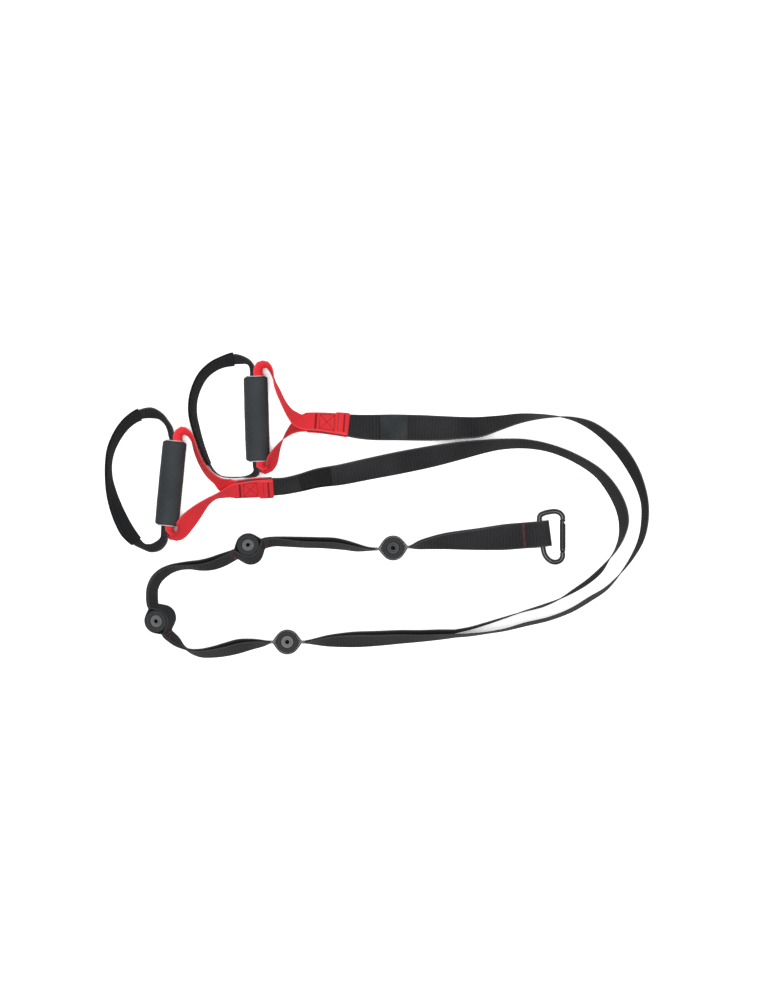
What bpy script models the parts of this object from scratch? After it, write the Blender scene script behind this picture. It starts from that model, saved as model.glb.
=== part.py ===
"""Suspension trainer laid out on a floor: two foam handles with foot loops, two leg straps,
a folded anchor strap with four door rollers sewn between its layers, and a snap carabiner.

Metres, +Z up. The floor is z = 0. Routes of webbing are read as pixels seen from straight
above, and everything else is a real size.
"""
import math

import bmesh
import bpy
import numpy as np
from mathutils import Matrix, Vector

MM = 0.001
PIXEL = 1.45 * MM  # one pixel of a route, on the floor
CENTRE_X = 335.05  # the pixel that stands at the origin
CENTRE_Y = 505.03

COLLECTION_NAME = "suspension_trainer"
CLEARANCE = 0.3 * MM  # between touching pieces
OVERRUN = 1.0 * MM  # by which a cut runs past a face
WELD = 0.01 * MM  # points nearer than this are one
SMOOTH_ANGLE = math.radians(40)  # a sharper edge than this is shown as one

# Webbing
STRAIGHT = 0.01  # a smaller curl, in radians, is none
WEBBING_WIDTH = 38 * MM
WEBBING_THICKNESS = 1.6 * MM
FOOT_STRAP_WIDTH = 25 * MM
FOOT_STRAP_THICKNESS = 1.5 * MM
ROW_STEP = 10 * MM  # between two cross-sections of a strap
TURN_STEP = math.radians(22)  # of twist between two cross-sections, at most about this
SEAM_GAP = 0.75 * MM  # between the layers of a yoke's seam
SEAM_STEP = 3  # pixels between two cross-sections of a seam
END_GAP = 0.8 * MM  # between a leg strap and the anchor layer it runs into
END_FOLD_LENGTH = 17 * MM  # the red end turned back under its last seam

# Foot pad
PAD_WIDTH = 32 * MM
PAD_THICKNESS = 5 * MM
PAD_CLEARANCE = 0.45 * MM  # round the strap
PAD_EDGE_SHARE = 0.55  # of its thickness that is left at its edges
PAD_SHOULDER_SHARE = 0.8

# Handle
TUBE_LENGTH = 125 * MM
TUBE_OUTER_RADIUS = 13.2 * MM
TUBE_BORE_RADIUS = 12 * MM
TUBE_EDGE = 0.6 * MM
FOAM_LENGTH = 122 * MM
FOAM_RADIUS = 17.3 * MM
FOAM_CROWN = 0.4 * MM  # by which the foam swells at its middle
FOAM_EDGE = 3 * MM
YOKE_TUCK_RADIUS = 10.6 * MM  # of the yoke where it is curled inside the tube
FOOT_TUCK_RADIUS = 7.2 * MM  # of the foot strap inside the yoke

# Door rollers
ROLLER_LENGTH = 40 * MM
ROLLER_RADIUS = 16 * MM
ROLLER_EDGE = 1.5 * MM
POCKET_CLEARANCE = 0.5 * MM
CORE_RADIUS = 9 * MM
CORE_BORE_RADIUS = 3 * MM
CORE_RECESS = 1.2 * MM  # by which the core stands back from the sleeve's end
CORE_COLLAR_RADIUS = 5.2 * MM
CORE_COLLAR_DEPTH = 0.8 * MM
PINCH_SHARE = 1.2  # where the layers meet, as a share of the pocket's radius
PINCH_LEAD = 3 * MM  # of the straight seam beyond that
PINCH_CLEARANCE = 0.7 * MM  # between the layers where they meet beside a roller
LIFT_REACH = 50 * MM  # from a leaning roller's seams to where the strap is down again

# Carabiner
ROD_RADIUS = 3.8 * MM
ROD_STEP = 4 * MM  # between two cross-sections of its rod
GATE_RADIUS = 4.2 * MM
TANG_THICKNESS = 2.3 * MM
TANG_RADIUS = 3.1 * MM
NOSE_TANG_WIDTH = 4.6 * MM
NOSE_TANG_LENGTH = 7.4 * MM
GATE_GAP = 0.5 * MM  # between the gate's ends and the rod
RIVET_RADIUS = 1.3 * MM
LATCH_PIN_RADIUS = 1.1 * MM
LATCH_PIN_LENGTH = 6.8 * MM
PLUNGER_RADIUS = 1.7 * MM
PLUNGER_LENGTH = 5 * MM
SPRING_LENGTH = 8 * MM
SPRING_WIRE_RADIUS = 0.3 * MM
SPRING_TURNS = 5
GATE_X = 30.7 * MM  # from the strap bar to the gate, along +X of the carabiner
GATE_PIVOT_Y = -22.6 * MM
LOOP_CLEARANCE = 0.9 * MM  # between the carabiner's bar and the webbing round it
LOOP_REACH = 13 * MM  # from the carabiner's bar to the outer end of the webbing loop
LOOP_LEAD_SHARES = (-0.45, 0.0)  # of that reach, where the webbing lies flat under the bar
LOOP_RETURN_SHARES = ((0.3, 0.93), (0.55, 0.62), (0.78, 0.24))  # way back, and its height

# How many flat pieces stand for a curve
YOKE_STRIPS = 4  # across a curled strap
FOOT_STRIPS = 4
POCKET_STEPS = 6
LOOP_STEPS = 8
CORNER_STEPS = 2
FOAM_CORNER_STEPS = 3
BALL_STEPS = 7
SPRING_STEPS = 12
TUBE_SEGMENTS = 32
FOAM_SEGMENTS = 36
SLEEVE_SEGMENTS = 32
CORE_SEGMENTS = 24
GATE_SEGMENTS = 24
PIN_SEGMENTS = 20
PLUNGER_SEGMENTS = 16
ROD_SIDES = 12
SPRING_SIDES = 6

# Colours, metallic, roughness
BLACK_WEBBING = ((0.028, 0.028, 0.031), 0.0, 0.85)
RED_WEBBING = ((0.72, 0.035, 0.045), 0.0, 0.75)
PAD_FABRIC = ((0.02, 0.022, 0.024), 0.0, 0.95)
FOAM = ((0.045, 0.052, 0.057), 0.0, 0.9)
TUBE_PLASTIC = ((0.5, 0.5, 0.51), 0.0, 0.45)
SLEEVE_RUBBER = ((0.03, 0.033, 0.034), 0.0, 0.8)
CORE_PLASTIC = ((0.25, 0.26, 0.27), 0.0, 0.55)
BLACK_METAL = ((0.02, 0.02, 0.022), 0.9, 0.28)
SPRING_STEEL = ((0.55, 0.55, 0.56), 1.0, 0.3)

# The handles' ends, as pixels
LEFT_GRIP_ENDS = ((175.0, 440.0), (166.6, 526.4))
RIGHT_GRIP_ENDS = ((255.5, 376.2), (258.0, 461.2))

# Routes of the webbing: x and y as pixels, and the roll in degrees. At 0 the strap lies flat
# with its top edge to the right of its travel, at 90 it stands on edge, and at 180 it lies
# flat with its top edge to the left.
LEFT_JOINT_ROUTE = (
    (235.0, 489.6, 125), (241.0, 489.0, 126), (249.0, 488.2, 129), (260.0, 487.5, 131),
    (272.0, 486.9, 132),
)
RIGHT_JOINT_ROUTE = (
    (305.5, 422.6, 49), (313.0, 422.6, 47), (323.0, 423.1, 44), (336.0, 424.3, 39),
    (347.4, 425.6, 34),
)
LEFT_LEG_ROUTE = (
    (284.0, 486.1, 130), (300.0, 482.8, 132), (318.0, 478.0, 137),
    (340.0, 474.8, 142), (370.0, 468.6, 146), (400.0, 462.6, 149), (430.0, 456.7, 145),
    (460.0, 450.6, 133), (480.0, 447.0, 122), (500.0, 444.3, 114), (525.0, 443.8, 110),
    (550.0, 448.2, 107), (575.0, 458.1, 108), (598.0, 472.8, 111), (612.0, 489.5, 115),
    (621.0, 507.5, 115), (623.8, 522.0, 112), (621.5, 537.0, 102), (615.7, 550.0, 94),
    (609.0, 559.5, 89), (600.0, 571.0, 81), (588.0, 581.5, 81), (574.0, 590.7, 84),
    (560.0, 598.7, 90), (543.0, 605.7, 94), (524.0, 611.3, 91), (505.0, 617.5, 88),
    (487.0, 623.3, 86), (470.0, 628.3, 85),
)
RIGHT_LEG_ROUTE = (
    (357.0, 426.6, 25), (372.0, 427.4, 14), (395.0, 427.4, 3), (418.0, 427.8, 8),
    (440.0, 428.2, 20), (460.0, 427.9, 32), (480.0, 427.0, 40), (500.0, 422.8, 57),
    (520.0, 418.4, 69), (540.0, 416.5, 80), (560.0, 416.8, 90), (575.0, 419.3, 98),
    (590.0, 425.0, 107), (605.0, 435.3, 112), (620.0, 450.0, 116), (632.0, 467.5, 115),
    (640.0, 485.0, 110), (644.7, 503.0, 106), (644.7, 522.0, 105), (641.2, 539.0, 102),
    (633.5, 555.0, 97), (620.0, 574.0, 90), (606.0, 588.7, 86), (590.0, 599.0, 84),
    (572.0, 609.8, 86), (550.0, 618.5, 87), (525.0, 624.5, 84), (505.0, 629.8, 87),
    (487.0, 632.8, 87), (470.0, 634.9, 85),
)

# Routes round the handles: x, y, roll, and the curl as a share of the curl in the tube
LEFT_YOKE_TOP_ROUTE = (
    (226.5, 485.8, 54, 0.0), (218.0, 481.3, 71, 0.0), (210.4, 475.4, 75, 0.0),
    (204.6, 468.6, 78, 0.0), (200.0, 460.6, 80, 0.0), (196.4, 451.6, 81, 0.0),
    (193.6, 444.1, 83, 0.05), (191.0, 438.8, 84, 0.2), (187.4, 435.0, 84, 0.38),
    (183.6, 433.8, 84, 0.68), (181.7, 436.4, 87, 0.92),
)
LEFT_YOKE_BOTTOM_ROUTE = (
    (174.6, 530.6, 96, 0.85), (177.0, 533.6, 106, 0.5), (181.2, 531.0, 117, 0.2),
    (186.8, 524.2, 125, 0.04), (193.2, 515.8, 124, 0.0), (200.2, 508.0, 114, 0.0),
    (207.6, 501.6, 104, 0.0), (216.0, 496.6, 100, 0.0), (225.8, 493.2, 110, 0.0),
)
RIGHT_YOKE_TOP_ROUTE = (
    (297.5, 420.0, 121, 0.0), (291.2, 414.6, 110, 0.0), (286.0, 407.4, 103, 0.0),
    (281.8, 399.6, 100, 0.0), (278.2, 391.6, 99, 0.0), (275.2, 384.4, 95, 0.0),
    (272.8, 377.8, 90, 0.08), (270.0, 371.8, 86, 0.22), (266.6, 368.0, 84, 0.4),
    (263.2, 368.2, 84, 0.7), (261.9, 372.4, 88, 0.92),
)
RIGHT_YOKE_BOTTOM_ROUTE = (
    (264.8, 463.4, 94, 0.85), (266.8, 464.6, 103, 0.5), (270.0, 461.0, 111, 0.2),
    (273.2, 455.2, 110, 0.05), (277.4, 447.8, 102, 0.0), (281.6, 441.0, 93, 0.0),
    (285.8, 435.6, 84, 0.0), (291.8, 430.0, 72, 0.0), (298.6, 426.0, 59, 0.0),
)
LEFT_FOOT_ROUTE = (
    (168.9, 435.6, 86, 0.9), (168.0, 429.6, 74, 0.47), (165.4, 422.0, 73, 0.12),
    (160.0, 415.6, 66, 0.0), (151.5, 412.6, 52, 0.0), (140.0, 414.2, 57, 0.0),
    (131.0, 419.2, 61, 0.0), (123.0, 427.0, 64, 0.0), (116.2, 437.4, 67, 0.0),
    (111.0, 449.5, 71, 0.0), (108.6, 463.0, 75, 0.0), (108.8, 478.0, 73, 0.0),
    (111.4, 493.0, 64, 0.0), (115.8, 507.4, 56, 0.0), (121.2, 520.4, 51, 0.0),
    (127.8, 532.2, 50, 0.0), (136.4, 541.8, 60, 0.0), (143.4, 546.6, 71, 0.0),
    (150.6, 548.2, 64, 0.04), (157.2, 545.4, 60, 0.2), (161.0, 539.2, 72, 0.5),
    (161.9, 532.8, 87, 0.85),
)
RIGHT_FOOT_ROUTE = (
    (250.4, 372.2, 88, 0.85), (249.6, 367.0, 80, 0.45), (246.4, 362.4, 72, 0.12),
    (240.4, 360.2, 60, 0.0), (233.8, 359.8, 53, 0.0), (223.0, 362.4, 60, 0.0),
    (212.6, 367.4, 63, 0.0), (203.4, 375.6, 65, 0.0), (196.6, 387.6, 67, 0.0),
    (192.9, 401.0, 69, 0.0), (192.8, 415.0, 70, 0.0), (195.9, 428.8, 72, 0.0),
    (200.0, 441.8, 76, 0.0), (204.5, 453.8, 79, 0.0), (209.2, 463.8, 83, 0.0),
    (214.5, 471.2, 86, 0.0), (221.5, 475.6, 90, 0.0), (231.0, 476.8, 91, 0.0),
    (241.0, 476.6, 90, 0.0), (249.2, 475.2, 86, 0.08), (254.0, 471.4, 79, 0.35),
    (253.8, 465.8, 88, 0.85),
)
LEFT_PAD_SPAN = (5, 16)  # the route points at which the foot pad starts and ends
RIGHT_PAD_SPAN = (4, 14)

# Door rollers: x, y, the travel of the strap past them, and their roll
ROLLERS = (
    (287.2, 642.0, (-1.0, 0.0), 90), (160.2, 619.1, (-0.46, 0.888), 112),
    (249.5, 549.0, (0.935, 0.355), 110), (393.1, 548.0, (1.0, 0.06), 90),
)
# The anchor strap before, between and after them: x, y, roll, and the pixels between the
# middles of its two layers
ANCHOR_ROUTES = (
    ((455.0, 633.6, 83, 4.4), (440.0, 634.6, 79, 4.8), (420.0, 636.0, 75, 4.8),
     (400.0, 636.9, 70, 4.6), (376.0, 638.5, 66, 4.4), (356.0, 639.4, 63, 3.8),
     (341.0, 640.1, 65, 2.8), (326.0, 640.9, 71, 2.0), (313.0, 641.6, 82, 1.5)),
    ((263.0, 643.1, 80, 1.6), (251.0, 644.2, 73, 3.2), (239.0, 646.2, 68, 4.4),
     (226.0, 649.4, 69, 4.2), (213.0, 652.0, 72, 3.0), (201.0, 653.0, 76, 2.0),
     (191.5, 651.2, 84, 1.5), (183.8, 647.2, 94, 1.6), (177.0, 641.6, 106, 1.8)),
    ((152.0, 597.4, 112, 1.7), (152.6, 588.0, 112, 1.5), (156.2, 579.8, 112, 1.4),
     (162.6, 573.4, 110, 1.4), (171.0, 568.8, 105, 1.6), (180.5, 566.3, 100, 2.6),
     (190.5, 565.2, 99, 3.8), (200.5, 565.2, 104, 4.3), (211.0, 563.8, 109, 4.3),
     (221.0, 560.6, 112, 3.4)),
    ((275.0, 541.6, 107, 1.6), (284.0, 541.6, 106, 2.4), (295.0, 542.0, 104, 3.8),
     (307.0, 542.4, 103, 4.6), (321.0, 542.7, 103, 4.6), (334.0, 543.4, 104, 4.6),
     (346.0, 545.2, 102, 4.0), (357.0, 547.6, 100, 2.8), (366.5, 548.8, 95, 1.7)),
    ((418.0, 545.1, 104, 1.4), (430.0, 543.0, 114, 1.4), (446.0, 541.0, 125, 1.4),
     (462.0, 540.0, 134, 1.4), (478.0, 539.1, 143, 1.4), (494.0, 537.9, 155, 1.4),
     (508.0, 536.8, 171, 1.4)),
)
BAR_TACK = (522.5, 535.6)
CARABINER_BAR = (541.5, 534.1)

# The rod's centre line in the carabiner's own frame, from the middle of its strap bar
ROD_ROUTE = (
    (30.7, 25.5), (26.8, 30.6), (20.3, 32.8), (12.3, 32.3), (3.6, 30.3), (-1.9, 27.2),
    (-3.2, 22.4), (0.0, 0.0), (2.7, -22.6), (4.5, -29.2), (8.9, -35.7), (15.2, -39.9),
    (21.7, -40.6), (28.0, -37.6), (30.6, -32.4),
)  # millimetres
NOSE_END = 21.9 * MM
HEEL_END = -27.3 * MM

LAYER_GAP = WEBBING_THICKNESS + CLEARANCE  # between the middles of two sewn layers
PINCH_GAP = WEBBING_THICKNESS + PINCH_CLEARANCE  # between their middles beside a roller
SEAM_LAYER_GAP = WEBBING_THICKNESS + SEAM_GAP
SEAM_STACK = WEBBING_THICKNESS + 2 * SEAM_LAYER_GAP
POCKET_RADIUS = ROLLER_RADIUS + POCKET_CLEARANCE + WEBBING_THICKNESS / 2
LOOP_RADIUS = ROD_RADIUS + WEBBING_THICKNESS / 2 + LOOP_CLEARANCE  # round the bar
SLOT_ROOT = TANG_RADIUS + 2 * CLEARANCE  # from the pivot to the end of the clevis slot


def clear_scene():
    for thing in list(bpy.data.objects):
        bpy.data.objects.remove(thing, do_unlink=True)
    for group in list(bpy.data.collections):
        bpy.data.collections.remove(group)


def new_collection(name):
    group = bpy.data.collections.new(name)
    bpy.context.scene.collection.children.link(group)
    return group


def material(name, finish):
    """A material from its colour, metallic value and roughness."""
    colour, metallic, roughness = finish
    made = bpy.data.materials.get(name) or bpy.data.materials.new(name)
    made.use_nodes = True
    shader = made.node_tree.nodes["Principled BSDF"]
    shader.inputs["Base Color"].default_value = (*colour, 1.0)
    shader.inputs["Metallic"].default_value = metallic
    shader.inputs["Roughness"].default_value = roughness
    made.diffuse_color = (*colour, 1.0)
    return made


def spot(x, y):
    """The place on the floor of a pixel."""
    return Vector(((x - CENTRE_X) * PIXEL, (CENTRE_Y - y) * PIXEL, 0.0))


def finish_object(name, mesh, finish, group):
    thing = bpy.data.objects.new(name, mesh)
    group.objects.link(thing)
    mesh.materials.append(material(name + "_finish", finish))
    mesh.shade_smooth()
    mesh.set_sharp_from_angle(angle=SMOOTH_ANGLE)
    return thing


def move_origin(thing, place):
    """Puts a piece's origin here, with the piece where it was."""
    thing.data.transform(Matrix.Translation(-place))
    thing.matrix_world = Matrix.Translation(place)


class Guide:
    """A cross-section that a strap passes through: its middle, the direction of its width,
    and how far it is curled, in radians, with its edges away from the normal."""

    def __init__(self, point, across, curl=0.0):
        self.point = Vector(point)
        self.across = Vector(across).normalized()
        self.curl = float(curl)


def right_of(travel):
    return Vector((travel.y, -travel.x, 0.0)).normalized()


def across_of(travel, roll):
    """The width's direction for a roll in degrees, of a strap that travels this way."""
    angle = math.radians(roll)
    return math.cos(angle) * right_of(travel) + math.sin(angle) * Vector((0.0, 0.0, 1.0))


def travels(points):
    """The direction of travel at each point of a route."""
    last = len(points) - 1
    return [
        (points[min(i + 1, last)] - points[max(i - 1, 0)]).normalized()
        for i in range(len(points))
    ]


def bend(width, curl, share):
    """Where a share of the width stands on a curled section: along it, and back from its
    normal."""
    if abs(curl) < STRAIGHT:
        return share * width, 0.0
    radius = width / curl
    angle = share * curl
    return radius * math.sin(angle), radius * (1 - math.cos(angle))


def resting_height(width, thickness, across, travel, curl=0.0):
    """The height of a strap's middle when its lowest edge touches the floor."""
    normal = across.cross(travel)
    lowest = 0.0
    for share in (-0.5, -0.25, 0.0, 0.25, 0.5):
        along, back = bend(width, curl, share)
        facing = math.cos(share * curl) * normal.z + math.sin(share * curl) * across.z
        half = thickness / 2 * abs(facing)
        lowest = min(lowest, along * across.z - back * normal.z - half)
    return -lowest


def floor_guides(route, width, stack, side=0.0):
    """Guides for a strap that lies on the floor as one of a stack of layers, shifted along
    the stack's normal by side."""
    points = [spot(x, y) for x, y, _roll in route]
    guides = []
    for point, travel, station in zip(points, travels(points), route):
        across = across_of(travel, station[2])
        height = resting_height(width, stack, across, travel)
        place = point + Vector((0, 0, height)) + side * across.cross(travel)
        guides.append(Guide(place, across))
    return guides


def catmull_rom(before, start, end, after, share):
    """A point between start and end of a smooth curve, for arrays whose first three values
    are a place. The spacing follows the square root of the distance."""
    def gap(one, other):
        return max(np.linalg.norm(other[:3] - one[:3]), MM) ** 0.5

    t1 = gap(before, start)
    t2 = t1 + gap(start, end)
    t3 = t2 + gap(end, after)
    t = t1 + share * (t2 - t1)
    a1 = (t1 - t) / t1 * before + t / t1 * start
    a2 = (t2 - t) / (t2 - t1) * start + (t - t1) / (t2 - t1) * end
    a3 = (t3 - t) / (t3 - t2) * end + (t - t2) / (t3 - t2) * after
    b1 = (t2 - t) / t2 * a1 + t / t2 * a2
    b2 = (t3 - t) / (t3 - t1) * a2 + (t - t1) / (t3 - t1) * a3
    return (t2 - t) / (t2 - t1) * b1 + (t - t1) / (t2 - t1) * b2


def span_steps(guides, closed=False):
    """How many rows each span between two guides takes."""
    count = len(guides) if closed else len(guides) - 1
    steps = []
    for i in range(count):
        start = guides[i]
        end = guides[(i + 1) % len(guides)]
        length = (end.point - start.point).length
        turn = start.across.angle(end.across)
        steps.append(max(1, round(length / ROW_STEP), round(turn / TURN_STEP)))
    return steps


def flat_travels(places, closed):
    """The level direction of travel at each of these places."""
    last = len(places) - 1
    found = []
    for i in range(last + 1):
        ahead = places[(i + 1) % (last + 1)] if closed else places[min(i + 1, last)]
        behind = places[i - 1] if closed else places[max(i - 1, 0)]
        found.append(Vector((ahead[0] - behind[0], ahead[1] - behind[1], 0.0)).normalized())
    return found


def smooth_rows(guides, width, thickness, steps=None, closed=False):
    """Rows (middle, width direction, curl) along a smooth curve through the guides. The
    height is kept as a lift above the resting height, so that a strap on the floor stays
    on it between two guides."""
    steps = steps or span_steps(guides, closed)
    values = []
    for guide, travel in zip(guides, flat_travels([g.point for g in guides], closed)):
        rest = resting_height(width, thickness, guide.across, travel, guide.curl)
        lift = guide.point.z - rest
        values.append(np.array([*guide.point.xy, lift, *guide.across, guide.curl]))
    count = len(values)
    rows = []
    for i, number in enumerate(steps):
        if closed:
            four = [values[(i + k) % count] for k in (-1, 0, 1, 2)]
        else:
            first = values[i - 1] if i else 2 * values[0] - values[1]
            final = values[i + 2] if i + 2 < count else 2 * values[-1] - values[-2]
            four = [first, values[i], values[i + 1], final]
        for k in range(number):
            rows.append(catmull_rom(*four, k / number))
    if not closed:
        rows.append(values[-1])
    guided = []
    for row, travel in zip(rows, flat_travels(rows, closed)):
        across = Vector(row[3:6]).normalized()
        rest = resting_height(width, thickness, across, travel, row[6])
        guided.append(Guide((row[0], row[1], row[2] + rest), across, row[6]))
    return guided


def frames(rows, closed=False):
    """(middle, width direction, normal, curl) of each row, square to its travel."""
    count = len(rows)
    found = []
    for i, row in enumerate(rows):
        if closed:
            ahead = rows[(i + 1) % count].point - rows[i - 1].point
        else:
            ahead = rows[min(i + 1, count - 1)].point - rows[max(i - 1, 0)].point
        travel = ahead.normalized()
        across = (row.across - row.across.dot(travel) * travel).normalized()
        found.append((row.point, across, across.cross(travel), row.curl))
    return found


def section(frame, width, strips, offset=0.0):
    """Points across one row, curled about its normal."""
    middle, across, normal, curl = frame
    points = []
    for k in range(strips + 1):
        share = k / strips - 1 / 2
        along, back = bend(width, curl, share)
        facing = math.cos(share * curl) * normal + math.sin(share * curl) * across
        points.append(middle + along * across - back * normal + offset * facing)
    return points


def ribbon(name, rows, width, thickness, finish, group, strips=1, closed=False):
    """A strap: an open surface through the rows, thickened by a Solidify modifier. A row
    that would reach below the floor is raised to it."""
    lines = []
    for frame in frames(rows, closed):
        line = section(frame, width, strips)
        faces = section(frame, width, strips, thickness / 2)
        faces += section(frame, width, strips, -thickness / 2)
        lowest = min(0.0, *(point.z for point in faces))
        lines.append([point - Vector((0, 0, lowest)) for point in line])
    work = bmesh.new()
    grid = [[work.verts.new(point) for point in line] for line in lines]
    count = len(grid)
    for i in range(count if closed else count - 1):
        here = grid[i]
        there = grid[(i + 1) % count]
        for k in range(strips):
            work.faces.new((here[k], here[k + 1], there[k + 1], there[k]))
    mesh = bpy.data.meshes.new(name)
    work.to_mesh(mesh)
    work.free()
    thing = finish_object(name, mesh, finish, group)
    thick = thing.modifiers.new("thickness", "SOLIDIFY")
    thick.thickness = thickness
    thick.offset = 0.0
    return thing


class Handle:
    """The place and axis of one handle, from the pixels of its two ends."""

    def __init__(self, ends):
        top = spot(*ends[0])
        bottom = spot(*ends[1])
        self.centre = (top + bottom) / 2 + Vector((0.0, 0.0, FOAM_RADIUS + FOAM_CROWN))
        self.axis = (top - bottom).normalized()
        self.side = right_of(self.axis)
        self.photo_half = (top - bottom).length / 2
        self.half = TUBE_LENGTH / 2

    def place(self, x, y):
        """A pixel's place on the floor, moved with the tube's end if the tube is longer or
        shorter than the pixels say."""
        point = spot(x, y)
        along = (point - self.centre).dot(self.axis)
        share = max(-1.0, min(1.0, along / self.photo_half))
        return point + share * (self.half - self.photo_half) * self.axis

    def guides(self, route, width, tuck_radius, rest_width, rest_thickness):
        """Guides for a route that starts or ends in the tube's mouth."""
        points = [self.place(x, y) for x, y, _roll, _share in route]
        made = []
        for point, travel, (_x, _y, roll, share) in zip(points, travels(points), route):
            across = across_of(travel, roll)
            curl = share * width / tuck_radius
            rest = resting_height(rest_width, rest_thickness, across, travel, curl)
            height = rest + share * (self.centre.z - rest)
            made.append(Guide((point.x, point.y, height), across, curl))
        return made

    def tube_guides(self, width, tuck_radius, travel):
        """Guides inside the tube, where the strap is curled round the axis, on edge."""
        across = Vector((0.0, 0.0, 1.0))
        made = []
        for share in (-1.0, -0.5, 0.0, 0.5, 1.0):
            point = self.centre + share * self.half * travel
            middle = point + tuck_radius * across.cross(travel)
            made.append(Guide(middle, across, width / tuck_radius))
        return made


def matrix_of(x_axis, z_axis, place):
    """A rotation with these two axes, and a place."""
    y_axis = z_axis.cross(x_axis)
    turn = Matrix((x_axis, y_axis, z_axis)).transposed().to_4x4()
    return Matrix.Translation(place) @ turn


def turned(name, profile, segments, finish, group, matrix, ring=False):
    """A turned piece: (radius, height) points from its top to its bottom, spun about the
    height's axis. A ring's profile is closed."""
    mesh = bpy.data.meshes.new(name)
    points = [(radius, 0.0, height) for radius, height in profile]
    edges = [(i, i + 1) for i in range(len(points) - 1)]
    if ring:
        edges.append((len(points) - 1, 0))
    mesh.from_pydata(points, edges, [])
    mesh.materials.append(material(name + "_finish", finish))
    thing = bpy.data.objects.new(name, mesh)
    group.objects.link(thing)
    thing.matrix_world = matrix
    spin = thing.modifiers.new("turn", "SCREW")
    spin.steps = spin.render_steps = segments
    spin.use_merge_vertices = True
    spin.merge_threshold = WELD
    return thing


def rounded_corner(radius, height, edge, outward, upward, steps=CORNER_STEPS):
    """Points of a quarter round at one corner of a profile, from its flat to its side."""
    if not edge:
        return [(radius, height)]
    points = []
    for k in range(steps + 1):
        angle = math.pi / 2 * k / steps
        points.append((
            radius - outward * edge * (1 - math.sin(angle)),
            height - upward * edge * (1 - math.cos(angle)),
        ))
    return points


def ring_profile(inner, outer, length, inner_edge, outer_edge):
    """A sleeve's closed profile, down its outer side and up its bore."""
    top = length / 2
    down = rounded_corner(outer, top, outer_edge, 1, 1)
    down += rounded_corner(outer, -top, outer_edge, 1, -1)[::-1]
    up = rounded_corner(inner, -top, inner_edge, -1, -1)
    up += rounded_corner(inner, top, inner_edge, -1, 1)[::-1]
    return down + up


def cut(target, cutter):
    modifier = target.modifiers.new("cut_" + cutter.name, "BOOLEAN")
    modifier.operation = "DIFFERENCE"
    modifier.solver = "EXACT"
    modifier.object = cutter


def join(target, other):
    modifier = target.modifiers.new("join_" + other.name, "BOOLEAN")
    modifier.operation = "UNION"
    modifier.solver = "EXACT"
    modifier.object = other


def tool(thing):
    """Marks a helper of a Boolean."""
    thing.hide_render = True
    thing.display_type = "WIRE"
    return thing


def build_grip(side, handle, group):
    place = matrix_of(Vector((0, 0, -1)), handle.axis, handle.centre)
    tube = ring_profile(TUBE_BORE_RADIUS, TUBE_OUTER_RADIUS, TUBE_LENGTH, 0.0, TUBE_EDGE)
    turned(side + "_grip_tube", tube, TUBE_SEGMENTS, TUBE_PLASTIC, group, place, ring=True)
    bore = TUBE_OUTER_RADIUS + CLEARANCE
    half = FOAM_LENGTH / 2
    foam = rounded_corner(FOAM_RADIUS, half, FOAM_EDGE, 1, 1, FOAM_CORNER_STEPS)
    foam.append((FOAM_RADIUS + FOAM_CROWN, half / 2))
    foam.append((FOAM_RADIUS + FOAM_CROWN, -half / 2))
    foam += rounded_corner(FOAM_RADIUS, -half, FOAM_EDGE, 1, -1, FOAM_CORNER_STEPS)[::-1]
    foam += [(bore, -half), (bore, half)]
    turned(side + "_foam_grip", foam, FOAM_SEGMENTS, FOAM, group, place, ring=True)


def end_fold(guides, travel, layer_side):
    """The guides of a strap's end turned back on itself, beside a layer that ends at the
    last of these guides."""
    last = guides[-1]
    normal = last.across.cross(travel).normalized()
    step = math.copysign(SEAM_LAYER_GAP, layer_side) * normal
    turn = Guide(last.point + step / 2 + SEAM_LAYER_GAP / 2 * travel, last.across)
    back = round(END_FOLD_LENGTH / (guides[-2].point - last.point).length)
    folded = [Guide(guide.point + step, guide.across) for guide in guides[-1 : -2 - back : -1]]
    return [turn, *folded]


def closer_stations(route):
    """A seam's route with a station at every few pixels of x."""
    xs = [station[0] for station in route]
    count = round((xs[-1] - xs[0]) / SEAM_STEP)
    stations = []
    for k in range(count + 1):
        x = xs[0] + (xs[-1] - xs[0]) * k / count
        y, roll = (np.interp(x, xs, [station[i] for station in route]) for i in (1, 2))
        stations.append((x, float(y), float(roll)))
    return stations


def build_yoke(side, handle, joint_route, top_route, bottom_route, fold_side, group):
    """The red strap: from the seam, up one arm, through the tube and back to the seam. The
    layers of the seam lie either side of the black strap, and one ends in a fold."""
    seam = closer_stations(joint_route)
    end_travel = (spot(*seam[-1][:2]) - spot(*seam[-2][:2])).normalized()
    upper = floor_guides(seam, WEBBING_WIDTH, SEAM_STACK, SEAM_LAYER_GAP)
    lower = floor_guides(seam, WEBBING_WIDTH, SEAM_STACK, -SEAM_LAYER_GAP)
    if fold_side > 0:
        upper += end_fold(upper, end_travel, fold_side)
    else:
        lower += end_fold(lower, end_travel, fold_side)
    tuck = (WEBBING_WIDTH, YOKE_TUCK_RADIUS)
    flat = (WEBBING_WIDTH, WEBBING_THICKNESS)
    guides = upper[::-1] + handle.guides(top_route, *tuck, *flat)
    guides += handle.tube_guides(*tuck, -handle.axis)
    guides += handle.guides(bottom_route, *tuck, *flat) + lower
    rows = smooth_rows(guides, WEBBING_WIDTH, WEBBING_THICKNESS)
    ribbon(
        side + "_yoke", rows, WEBBING_WIDTH, WEBBING_THICKNESS, RED_WEBBING, group, YOKE_STRIPS
    )


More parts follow.
